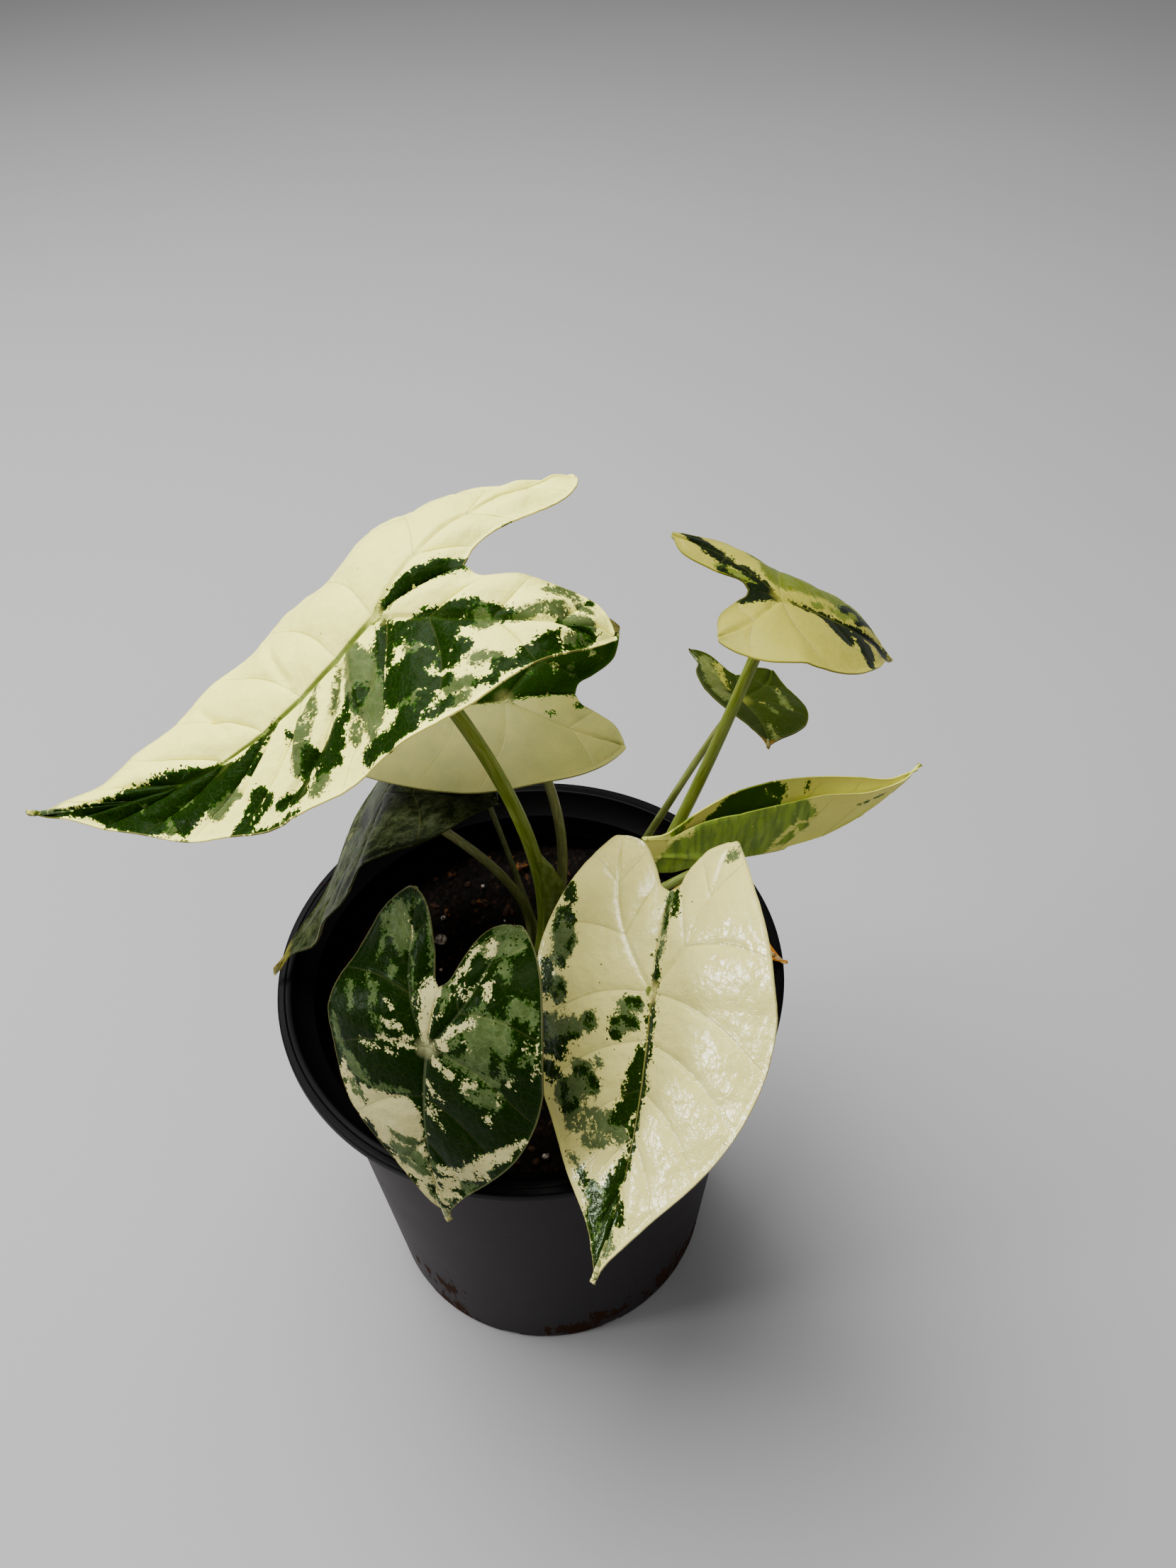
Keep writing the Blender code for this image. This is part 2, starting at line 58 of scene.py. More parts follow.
def linear(code):
    """Linear RGBA of an sRGB hex colour."""
    parts = [int(code[i:i + 2], 16) / 255 for i in (1, 3, 5)]
    return tuple(c / 12.92 if c <= 0.04045 else ((c + 0.055) / 1.055) ** 2.4 for c in parts) + (1.0,)


def add(tree, kind, inputs=(), **settings):
    """Add a shader node with its settings. Its inputs, in order or by name, are values, hex colours,
    the output sockets that feed them, or nodes, whose first output is taken."""
    made = tree.nodes.new("ShaderNode" + kind)
    for name, value in settings.items():
        setattr(made, name, value)
    for socket, value in inputs.items() if isinstance(inputs, dict) else enumerate(inputs):
        if isinstance(value, bpy.types.Node):
            value = value.outputs[0]
        if isinstance(value, bpy.types.NodeSocket):
            tree.links.new(value, made.inputs[socket])
        else:
            made.inputs[socket].default_value = linear(value) if isinstance(value, str) else value
    return made


def new_surface(name, **fixed):
    """A material with its Principled shader, whose fixed values are set on its own sockets."""
    mat = bpy.data.materials.new(name)
    mat.use_nodes = True
    shader = mat.node_tree.nodes["Principled BSDF"]
    for socket, value in fixed.items():
        shader.inputs[socket.replace("_", " ")].default_value = value
    return mat, mat.node_tree, shader


down, aside = math.radians(CAMERA_DOWN), math.radians(CAMERA_TURN)
look = Vector((math.sin(aside) * math.cos(down), math.cos(aside) * math.cos(down), -math.sin(down)))
level = Vector((math.cos(aside), -math.sin(aside), 0))
camera = bpy.data.objects.new("camera", bpy.data.cameras.new("camera"))
bpy.context.scene.collection.objects.link(camera)
camera.data.lens = CAMERA_LENS
camera.data.sensor_width = 36
camera.data.clip_start = 0.01
upright = Matrix((level, level.cross(look), -look)).transposed().to_4x4()
camera.matrix_world = Matrix.Translation(CAMERA_PLACE) @ upright @ Matrix.Rotation(
    math.radians(CAMERA_ROLL), 4, "Z")
bpy.context.scene.camera = camera

bpy.ops.object.select_all(action="DESELECT")
bpy.ops.mesh.primitive_plane_add(size=TABLE_SIZE)
table = bpy.context.object
table.name = "table"
# Pale grey background paper: matte and almost even
mat, tree, shader = new_surface("table_paper", Roughness=0.75, Specular_IOR_Level=0.2)
place = add(tree, "TexCoord").outputs["Object"]
cloud = add(tree, "TexNoise", {"Vector": place, "Scale": 3.0, "Detail": 2.0})
paper = add(tree, "MixRGB", (cloud, "#929091", "#989697"))
tree.links.new(paper.outputs["Color"], shader.inputs["Base Color"])
table.data.materials.append(mat)


def softbox(name, place, aim, size, watts, colour="#ffffff"):
    """A square white panel light aimed at a point."""
    lamp = bpy.data.lights.new(name, "AREA")
    lamp.shape = "SQUARE"
    lamp.size = size
    lamp.energy = watts
    lamp.color = linear(colour)[:3]
    obj = bpy.data.objects.new(name, lamp)
    bpy.context.scene.collection.objects.link(obj)
    obj.location = place
    obj.rotation_euler = (Vector(aim) - Vector(place)).to_track_quat("-Z", "Y").to_euler()


softbox("panel_above", (-0.35, 0.30, 1.35), (0, 0, 0.12), 1.2, 58.0)
softbox("panel_left", (-1.24, -0.19, 0.39), (0, 0, 0.2), 0.22, 9.0)
softbox("panel_front", (0.8, -1.0, 1.3), (0, 0, 0.15), 1.0, 6.0)
world = bpy.data.worlds.new("studio")
bpy.context.scene.world = world
world.use_nodes = True
world.node_tree.nodes["Background"].inputs["Color"].default_value = linear("#e6e8ec")
world.node_tree.nodes["Background"].inputs["Strength"].default_value = 0.22


# Pot
# A round 15 cm nursery pot of black polypropylene, injection moulded in one piece: a flat rim with
# a rounded edge, a shoulder, a tapered body, and a floor raised on a notched foot ring.
MM = 0.001
POT_HEIGHT, RIM_RADIUS, RIM_DEPTH, RIM_ROUND, MOUTH_RADIUS = 140.0, 75.0, 3.6, 0.7, 71.4
RIM_GROOVE = 0.35
BODY_TOP_RADIUS, BASE_RADIUS, WALL = 66.0, 56.0, 1.6
SHOULDER, SHOULDER_OUT = 5.0, 4.2
FLOOR_RISE, FLOOR_THICK, PAD_RADIUS = 2.4, 1.6, 9.0
FOOT_INNER, FOOT_OUTER, FOOT_SLOPE, FOOT_COUNT = 52.4, 55.2, 1.4, 10
NOTCH_WIDTH, NOTCH_LENGTH, NOTCH_HEIGHT = 6.0, 14.0, 2.1
DRAIN_RADIUS, DRAIN_CIRCLE, DRAIN_COUNT = 4.5, 34.0, 6
POT_STEPS, BODY_STEPS, SHOULDER_STEPS = 192, 12, 5
INNER_RIBS, RIB_SPACING, RIB_DEPTH, RIB_HALF_WIDTH = 5, 3.2, 0.35, 0.5
SMEAR_FROM, SMEAR_HEIGHT = 8.0, 34.0


def dress(piece, mat):
    """Give a finished piece its material, and let it ride on the root body."""
    if mat:
        piece.data.materials.clear()
        piece.data.materials.append(mat)
    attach(piece, "root")


def body_radius(height):
    """Outer radius of the pot's tapered body."""
    top = POT_HEIGHT - RIM_DEPTH - SHOULDER
    return BASE_RADIUS + (BODY_TOP_RADIUS - BASE_RADIUS) * height / top


def arc(centre, radius, start, end, steps):
    """(radius, height) points along an arc of a profile."""
    turns = [math.radians(start + (end - start) * i / steps) for i in range(steps + 1)]
    return [(centre[0] + radius * math.cos(a), centre[1] + radius * math.sin(a)) for a in turns]


def lathe(name, profile, steps):
    """Extrude a circle ring by ring along a profile of (radius, height) points, and close both ends."""
    bpy.ops.object.select_all(action="DESELECT")
    bpy.ops.mesh.primitive_circle_add(vertices=steps, radius=profile[0][0] * MM,
                                      location=(0, 0, profile[0][1] * MM))
    piece = bpy.context.object
    piece.name = name
    bpy.ops.object.transform_apply(location=True, rotation=False, scale=False)
    bpy.ops.object.mode_set(mode="EDIT")
    bpy.ops.mesh.select_all(action="SELECT")
    for (radius, height), (wider, higher) in zip(profile, profile[1:]):
        bpy.ops.mesh.extrude_region_move(TRANSFORM_OT_translate={"value": (0, 0, (higher - height) * MM)})
        grow = wider / radius
        bpy.ops.transform.resize(value=(grow, grow, 1), center_override=(0, 0, 0))
    bpy.ops.mesh.edge_face_add()
    bpy.ops.mesh.select_all(action="DESELECT")
    bpy.ops.mesh.select_mode(type="EDGE")
    bpy.ops.mesh.select_non_manifold()
    bpy.ops.mesh.edge_face_add()
    bpy.ops.mesh.select_all(action="SELECT")
    bpy.ops.mesh.normals_make_consistent(inside=False)
    bpy.ops.object.mode_set(mode="OBJECT")
    return piece


def carve(piece, cutters):
    """Cut a list of solids out of a piece."""
    bpy.ops.object.select_all(action="DESELECT")
    for cutter in cutters:
        cutter.select_set(True)
    bpy.context.view_layer.objects.active = cutters[0]
    bpy.ops.object.join()
    bpy.ops.object.select_all(action="DESELECT")
    bpy.context.view_layer.objects.active = piece
    cut = piece.modifiers.new("cut", "BOOLEAN")
    cut.object = cutters[0]
    bpy.ops.object.modifier_apply(modifier="cut")
    bpy.data.objects.remove(cutters[0])


rim_under = POT_HEIGHT - RIM_DEPTH
neck = rim_under - SHOULDER
floor_top = FLOOR_RISE + FLOOR_THICK
low_edge, high_edge = rim_under + RIM_ROUND, POT_HEIGHT - RIM_ROUND
profile = [(PAD_RADIUS, 0), (PAD_RADIUS + FOOT_SLOPE, FLOOR_RISE), (FOOT_INNER - FOOT_SLOPE, FLOOR_RISE),
           (FOOT_INNER, 0.2), (FOOT_INNER + 0.3, 0), (FOOT_OUTER - 0.3, 0), (FOOT_OUTER, 0.2)]
for i in range(BODY_STEPS + 1):
    height = FOOT_SLOPE + (neck - FOOT_SLOPE) * i / BODY_STEPS
    profile.append((body_radius(height), height))
for i in range(1, SHOULDER_STEPS + 1):
    turn = math.pi / 2 * i / SHOULDER_STEPS
    radius = BODY_TOP_RADIUS + SHOULDER_OUT * (1 - math.cos(turn))
    profile.append((radius, neck + SHOULDER * math.sin(turn)))
profile += arc((RIM_RADIUS - RIM_ROUND, low_edge), RIM_ROUND, -90, 0, 4)
profile += arc((RIM_RADIUS - RIM_ROUND, high_edge), RIM_ROUND, 0, 90, 4)
profile += [(MOUTH_RADIUS + 1.7, POT_HEIGHT), (MOUTH_RADIUS + 1.2, POT_HEIGHT - RIM_GROOVE),
            (MOUTH_RADIUS + 0.6, POT_HEIGHT - RIM_GROOVE)]
profile += arc((MOUTH_RADIUS, high_edge), RIM_ROUND, 90, 180, 4)
profile += [(BODY_TOP_RADIUS + SHOULDER_OUT / 2, rim_under - RIM_ROUND),
            (BODY_TOP_RADIUS - WALL / 2, neck + SHOULDER / 2), (BODY_TOP_RADIUS - WALL, neck - WALL)]
for i in range(1, INNER_RIBS + 1):
    height = neck - WALL - RIB_SPACING * i
    inner = body_radius(height) - WALL - 0.05
    profile += [(inner, height + RIB_HALF_WIDTH), (inner - RIB_DEPTH, height),
                (inner, height - RIB_HALF_WIDTH)]
profile += [(body_radius(floor_top) - WALL, floor_top), (PAD_RADIUS, floor_top)]
pot = lathe("nursery_pot", profile, POT_STEPS)
cutters = []
for i in range(FOOT_COUNT):
    angle = math.radians(-90 + 360 / FOOT_COUNT * (i + 0.5))
    bpy.ops.mesh.primitive_cube_add(
        size=1, location=(BASE_RADIUS * math.cos(angle) * MM, BASE_RADIUS * math.sin(angle) * MM, 0),
        rotation=(0, 0, angle), scale=(NOTCH_LENGTH * MM, NOTCH_WIDTH * MM, 2 * NOTCH_HEIGHT * MM))
    bpy.ops.object.transform_apply(scale=True)
    cutters.append(bpy.context.object)
for i in range(DRAIN_COUNT):
    angle = math.radians(360 / DRAIN_COUNT * i)
    middle = (DRAIN_CIRCLE * math.cos(angle) * MM, DRAIN_CIRCLE * math.sin(angle) * MM, floor_top * MM / 2)
    bpy.ops.mesh.primitive_cylinder_add(vertices=32, radius=DRAIN_RADIUS * MM, depth=2 * floor_top * MM,
                                        location=middle)
    cutters.append(bpy.context.object)
carve(pot, cutters)
bpy.context.view_layer.objects.active = pot
pot.select_set(True)
bpy.ops.object.shade_smooth_by_angle(angle=math.radians(32))

# Black polypropylene: satin from the mould, with a little dust and dried soil smeared low on the body.
# Its outer body is painted a lighter grey as a painted sheen, and its inside and rim near black as painted
# shade
mat, tree, shader = new_surface("black_polypropylene", IOR=1.49, Specular_IOR_Level=0.06)
place = add(tree, "TexCoord").outputs["Object"]
mould_grain = add(tree, "TexNoise", {"Vector": place, "Scale": 900.0, "Detail": 3.0})
dust = add(tree, "TexNoise", {"Vector": place, "Scale": 26.0, "Detail": 6.0, "Roughness": 0.65})
drips = add(tree, "Mapping", {"Vector": place, "Scale": (260.0, 260.0, 90.0)})
flecks = add(tree, "TexNoise", {"Vector": drips, "Scale": 1.0, "Detail": 6.0, "Roughness": 0.7})
clumps = add(tree, "TexNoise", {"Vector": place, "Scale": 34.0, "Detail": 2.0})
height = add(tree, "SeparateXYZ", (place,)).outputs["Z"]
low = add(tree, "MapRange", (height, SMEAR_FROM * MM, SMEAR_HEIGHT * MM, 0.16, -0.12))
patchy = add(tree, "Math", (flecks, clumps), operation="ADD")
soiled = add(tree, "Math", (patchy, low), operation="ADD")
smear = add(tree, "MapRange", (soiled, 1.16, 1.23))

# The outer body below the shoulder carries the painted sheen and the dust, and the inside and the rim are
# painted near black as shade. The outside is told from the distance to the axis
level_place = add(tree, "VectorMath", (place, (1.0, 1.0, 0.0)), operation="MULTIPLY")
radius = add(tree, "VectorMath", (level_place,), operation="LENGTH").outputs["Value"]
taper = (BODY_TOP_RADIUS - BASE_RADIUS) / neck
beside = add(tree, "Math", (height, -taper, radius), operation="MULTIPLY_ADD")
outside = add(tree, "Math", (beside, (BASE_RADIUS - WALL / 2) * MM), operation="GREATER_THAN")
under_rim = add(tree, "Math", (height, neck * MM), operation="LESS_THAN")
lit_outer_body = add(tree, "Math", (outside, under_rim), operation="MULTIPLY")
# The lighter grey of the outer body is painted sheen, and the near black of the inside and rim is painted
# shade
body = add(tree, "MixRGB", (dust, "#1c191b", "#292527"))
sheen_body_dark_inside = add(tree, "MixRGB", (lit_outer_body, "#060505", body))
shown = add(tree, "MixRGB", (smear, sheen_body_dark_inside, "#2c1b10"))
tree.links.new(shown.outputs["Color"], shader.inputs["Base Color"])
matte = add(tree, "MapRange", (dust, 0.0, 1.0, 0.38, 0.56))
rough = add(tree, "Math", (matte, smear), operation="MAXIMUM")
tree.links.new(rough.outputs["Value"], shader.inputs["Roughness"])
crust = add(tree, "Math", (smear, 6.0, mould_grain), operation="MULTIPLY_ADD")
bump = add(tree, "Bump", {"Height": crust, "Strength": 0.5, "Distance": 0.0001})
tree.links.new(bump.outputs["Normal"], shader.inputs["Normal"])
dress(pot, mat)
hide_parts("pot")


# Potting soil
# A dark peat and bark mix that fills the pot to about 20 mm below the rim. Its top is crumbly and
# nearly level. The stalks stand in it on a ring, off the middle, where the plant's crown is.
SOIL_LEVEL, SOIL_RISE_AT_WALL, SOIL_RELIEF = 119.5, 2.0, 0.7
CROWN_X, CROWN_Y, CROWN_RADIUS, CROWN_FLAT = 9.0, 18.0, 8.5, 16.0
GAP = 0.3
SOIL_CELLS = 150
CRUMBS = ((2.6, 0.9), (1.1, 0.55), (0.55, 0.3))


def soil_height(x, y):
    """Height of the soil's surface: flat at the crown, gently uneven, higher by the wall."""
    out = min(1.0, math.hypot(x, y) / BODY_TOP_RADIUS)
    waves = math.sin(0.21 * x + 1.0) * math.cos(0.17 * y) + 0.6 * math.sin(0.37 * y - 0.29 * x)
    away = min(1.0, max(0.0, math.hypot(x - CROWN_X, y - CROWN_Y) / CROWN_FLAT - 1.0))
    return SOIL_LEVEL + away * (SOIL_RELIEF * waves + SOIL_RISE_AT_WALL * out ** 4)


def crumbly(x, y):
    """Height of the loose crumbs on the soil's surface."""
    found = 0.0
    for size, height in CRUMBS:
        at = Vector((x / size, y / size, size))
        found += height * max(-0.4, noise.noise(at))
    return found


low = floor_top + GAP
clear = WALL + 2 * GAP
edge = body_radius(SOIL_LEVEL) - clear
bpy.ops.object.select_all(action="DESELECT")
bpy.ops.mesh.primitive_grid_add(x_subdivisions=SOIL_CELLS, y_subdivisions=SOIL_CELLS, size=2)
soil = bpy.context.object
soil.name = "potting_mix"
for vert in soil.data.vertices:
    u, v = vert.co.x, vert.co.y
    x, y = edge * u * math.sqrt(1 - v * v / 2), edge * v * math.sqrt(1 - u * u / 2)
    vert.co = Vector((x, y, soil_height(x, y) + crumbly(x, y))) * MM
bpy.ops.object.mode_set(mode="EDIT")
bpy.ops.mesh.select_mode(type="EDGE")
bpy.ops.mesh.select_all(action="DESELECT")
bpy.ops.mesh.select_non_manifold()
drop = SOIL_LEVEL - low
bpy.ops.mesh.extrude_region_move(TRANSFORM_OT_translate={"value": (0, 0, -drop * MM)})
narrow = (body_radius(low) - clear) / edge
bpy.ops.transform.resize(value=(narrow, narrow, 0), center_override=(0, 0, low * MM))
bpy.ops.mesh.edge_face_add()
bpy.ops.mesh.select_all(action="SELECT")
bpy.ops.mesh.normals_make_consistent(inside=False)
bpy.ops.object.mode_set(mode="OBJECT")
bpy.ops.object.shade_smooth_by_angle(angle=math.radians(60))

# Peat and fine bark: nearly black where it is wet, with dark brown crumbs, dull all over
mat, tree, shader = new_surface("wet_potting_mix", Roughness=0.8, Specular_IOR_Level=0.08)
place = add(tree, "TexCoord").outputs["Object"]
crumb = add(tree, "TexVoronoi", {"Vector": place, "Scale": 900.0, "Randomness": 1.0}).outputs["Color"]
brown = add(tree, "TexNoise", {"Vector": place, "Scale": 120.0, "Detail": 5.0, "Roughness": 0.7})
tone = add(tree, "MixRGB", (0.5, crumb, brown.outputs["Color"]))
value = add(tree, "RGBToBW", (tone,))
ramp = add(tree, "ValToRGB", {"Fac": value})
for position, colour in ((0.36, "#050302"), (0.58, "#0d0805"), (0.70, "#22150c"), (0.80, "#4a2f1a")):
    stop = ramp.color_ramp.elements.new(position)
    stop.color = linear(colour)
ramp.color_ramp.elements.remove(ramp.color_ramp.elements[0])
tree.links.new(ramp.outputs["Color"], shader.inputs["Base Color"])
bump = add(tree, "Bump", {"Height": value, "Strength": 0.8, "Distance": 0.0006})
tree.links.new(bump.outputs["Normal"], shader.inputs["Normal"])
dress(soil, mat)
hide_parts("soil")


# Perlite and bark
# White puffed perlite grains, chips of brown bark and fresher rusty bits that are mixed through the
# soil and lie half sunk in its top. Most are strewn at random, and the two tables hold the place and
# size of the larger ones that show between the leaves.
PERLITE_COUNT, CHIP_COUNT, SMALL_COUNT = 16, 14, 150
GRAIN_REACH, GRAIN_APART, GRAIN_SIZE = 58.0, 5.5, (1.0, 1.9)
PERLITE_SHAPE, CHIP_SHAPE = (1.0, 0.85, 0.8), (1.5, 0.7, 0.55)
SMALL_SIZE = (0.35, 1.3)
SEEN_PERLITE = (
    (-41.2, 42.0, 1.3), (-28.5, 26.4, 2.1), (-27.5, 34.5, 0.8), (-7.6, 32.2, 0.5), (-28.7, 14.8, 0.6),
    (-14.0, 47.0, 0.8), (-0.3, -53.4, 1.1), (14.0, -40.0, 1.0), (38.0, 30.0, 1.4), (30.0, -20.0, 1.1))
SEEN_RUST = (
    (-1.0, 53.5, 2.4), (-4.1, 59.0, 1.1), (-24.5, 53.5, 1.3), (-14.4, 40.5, 2.0), (-48.5, 32.6, 1.8),
    (-26.0, 36.5, 1.2), (-56.0, 13.5, 1.6), (-11.0, 58.5, 0.9), (25.0, 45.0, 1.8), (44.0, -22.0, 2.0))


def grain(place, shape, size, spin, rough):
    """One rough pebble at a point in mm: a small sphere, pushed about by noise."""
    bpy.ops.mesh.primitive_ico_sphere_add(subdivisions=2, radius=1)
    piece = bpy.context.object
    turned = Matrix.Rotation(spin, 3, "Z")
    for vert in piece.data.vertices:
        bumpy = 1 + rough * noise.noise(vert.co * 1.7 + Vector(place))
        local = Vector(a * b for a, b in zip(vert.co, shape)) * size * bumpy
        vert.co = (Vector(place) + turned @ local) * MM
    return piece


def gather(pieces, name):
    """Join small pieces into one named object."""
    bpy.ops.object.select_all(action="DESELECT")
    for piece in pieces:
        piece.select_set(True)
    bpy.context.view_layer.objects.active = pieces[0]
    bpy.ops.object.join()
    pieces[0].name = name
    bpy.ops.object.shade_smooth_by_angle(angle=math.radians(50))
    return pieces[0]


bpy.ops.object.select_all(action="DESELECT")
rng = random.Random(7)
placed, white, brown_bits, rusty = [], [], [], []
while len(placed) < PERLITE_COUNT + CHIP_COUNT:
    angle = rng.uniform(0, 2 * math.pi)
    far = GRAIN_REACH * math.sqrt(rng.random())
    x, y = far * math.cos(angle), far * math.sin(angle)
    free = all(math.hypot(x - a, y - b) > GRAIN_APART for a, b in placed)
    if not free or math.hypot(x - CROWN_X, y - CROWN_Y) < CROWN_FLAT:
        continue
    is_white = len(placed) < PERLITE_COUNT
    placed.append((x, y))
    spin = rng.uniform(0, math.pi)
    size = rng.uniform(*GRAIN_SIZE)
    made = grain((x, y, soil_height(x, y)), PERLITE_SHAPE if is_white else CHIP_SHAPE, size, spin,
                 0.35 if is_white else 0.5)
    (white if is_white and y < 0 else brown_bits).append(made)
for x, y, size in SEEN_PERLITE:
    white.append(grain((x, y, soil_height(x, y) + size / 2), PERLITE_SHAPE, size, x, 0.45))
for x, y, size in SEEN_RUST:
    rusty.append(grain((x, y, soil_height(x, y) + 0.4), (1.2, 0.8, 0.6), size, y, 0.8))
rng = random.Random(11)
for i in range(SMALL_COUNT):
    angle = rng.uniform(0, 2 * math.pi)
    far = (GRAIN_REACH + 3) * math.sqrt(rng.random())
    x, y = far * math.cos(angle), far * math.sin(angle)
    size = rng.uniform(*SMALL_SIZE)
    if i % 6:
        shape = (1.6, 0.6, 0.4) if i % 2 else (1.0, 0.8, 0.5)
        spin = rng.uniform(0, math.pi)
        brown_bits.append(grain((x, y, soil_height(x, y) + 0.3), shape, size, spin, 0.5))
    else:
        white.append(grain((x, y, soil_height(x, y) + 0.2), PERLITE_SHAPE, size * 0.6, 0, 0.35))

# Perlite: puffed volcanic glass, chalky white with a rosy tint and soil in its pores
mat, tree, shader = new_surface("perlite", Roughness=0.7, Specular_IOR_Level=0.2)
place = add(tree, "TexCoord").outputs["Object"]
pores = add(tree, "TexNoise", {"Vector": place, "Scale": 1100.0, "Detail": 3.0})
stain = add(tree, "MapRange", (pores, 0.42, 0.62))
chalk = add(tree, "MixRGB", (stain, "#5b4a3f", "#c9bcb0"))
tree.links.new(chalk.outputs["Color"], shader.inputs["Base Color"])
bump = add(tree, "Bump", {"Height": pores, "Strength": 0.7, "Distance": 0.0003})
tree.links.new(bump.outputs["Normal"], shader.inputs["Normal"])
dress(gather(white, "perlite"), mat)

# Composted pine bark: dark brown to rust, fibrous
mat, tree, shader = new_surface("pine_bark", Roughness=0.75, Specular_IOR_Level=0.12)
place = add(tree, "TexCoord").outputs["Object"]
fibre = add(tree, "TexNoise", {"Vector": place, "Scale": 420.0, "Detail": 4.0})
piece_tone = add(tree, "TexNoise", {"Vector": place, "Scale": 60.0, "Detail": 0.0})
rust = add(tree, "MixRGB", (piece_tone, "#1c120c", "#5a3a22"))
bark = add(tree, "MixRGB", (fibre, "#140d09", rust))
tree.links.new(bark.outputs["Color"], shader.inputs["Base Color"])
bump = add(tree, "Bump", {"Height": fibre, "Strength": 0.8, "Distance": 0.0004})
tree.links.new(bump.outputs["Normal"], shader.inputs["Normal"])
dress(gather(brown_bits, "bark_chips"), mat)

# Fresher bark: amber to rust where the wet crust is broken, with dark pores
mat, tree, shader = new_surface("rusty_bark", Roughness=0.7, Specular_IOR_Level=0.15)
place = add(tree, "TexCoord").outputs["Object"]
pores = add(tree, "TexNoise", {"Vector": place, "Scale": 700.0, "Detail": 4.0, "Roughness": 0.7})
open_wood = add(tree, "MapRange", (pores, 0.47, 0.62))
amber = add(tree, "MixRGB", (open_wood, "#140c07", "#74440f"))
tree.links.new(amber.outputs["Color"], shader.inputs["Base Color"])
bump = add(tree, "Bump", {"Height": pores, "Strength": 0.8, "Distance": 0.0005})
tree.links.new(bump.outputs["Normal"], shader.inputs["Normal"])
dress(gather(rusty, "rusty_bark_bits"), mat)


# Stalks
# Ten fleshy leaf stalks that rise from the crown, each a tapered round rod that ends under its
# blade. The big leaf's stalk still has a green sheath flap near its foot.
BLADE_THICK = 0.8
HOLE_DEPTH = 8.0
STALK_SIDES, STALK_STEPS = 10, 44


@dataclass(frozen=True)
class Stem:
    """A leaf stalk: where it stands on the crown ring, and how it leaves and arrives."""
    place: float        # angle on the crown ring
    base: float         # radius in the soil
    top: float          # radius under the blade
    rise: float         # length of the pull at the foot
    lean: float         # lean of that pull from upright, towards the blade
    reach: float        # length of the pull at the top
    heading: float      # compass direction in which it arrives
    climb: float        # angle above level at which it arrives


@dataclass(frozen=True)
class Leaf:
    """An arrow-shaped blade. Pairs are (left half, right half), seen from the stem to the tip."""
    stem: Stem
    joint: tuple        # where the stem meets the blade
    heading: float      # direction of the midrib from the joint
    pitch: float        # climb of the midrib, negative where it hangs
    roll: float         # turn about the midrib, lifting the left half
    length: float       # joint to tip
    half: tuple         # width of each half
    lobe: tuple         # how far each back lobe reaches behind the joint
    spread: tuple       # distance of each lobe's tip from the midrib's line
    notch: float        # joint to the bottom of the notch between the lobes
    bend: tuple         # change of climb along the midrib: even part, part that grows
    sway: float         # sideways shift of the tip
    bow: float          # sideways bow of the midrib halfway
    fold: tuple         # rise of each half beside the midrib
    curl: tuple         # change of that rise out to the margin
    lobe_fold: tuple    # extra rise of each back lobe
    lift: tuple         # lift behind the joint: to the notch, left lobe, right lobe


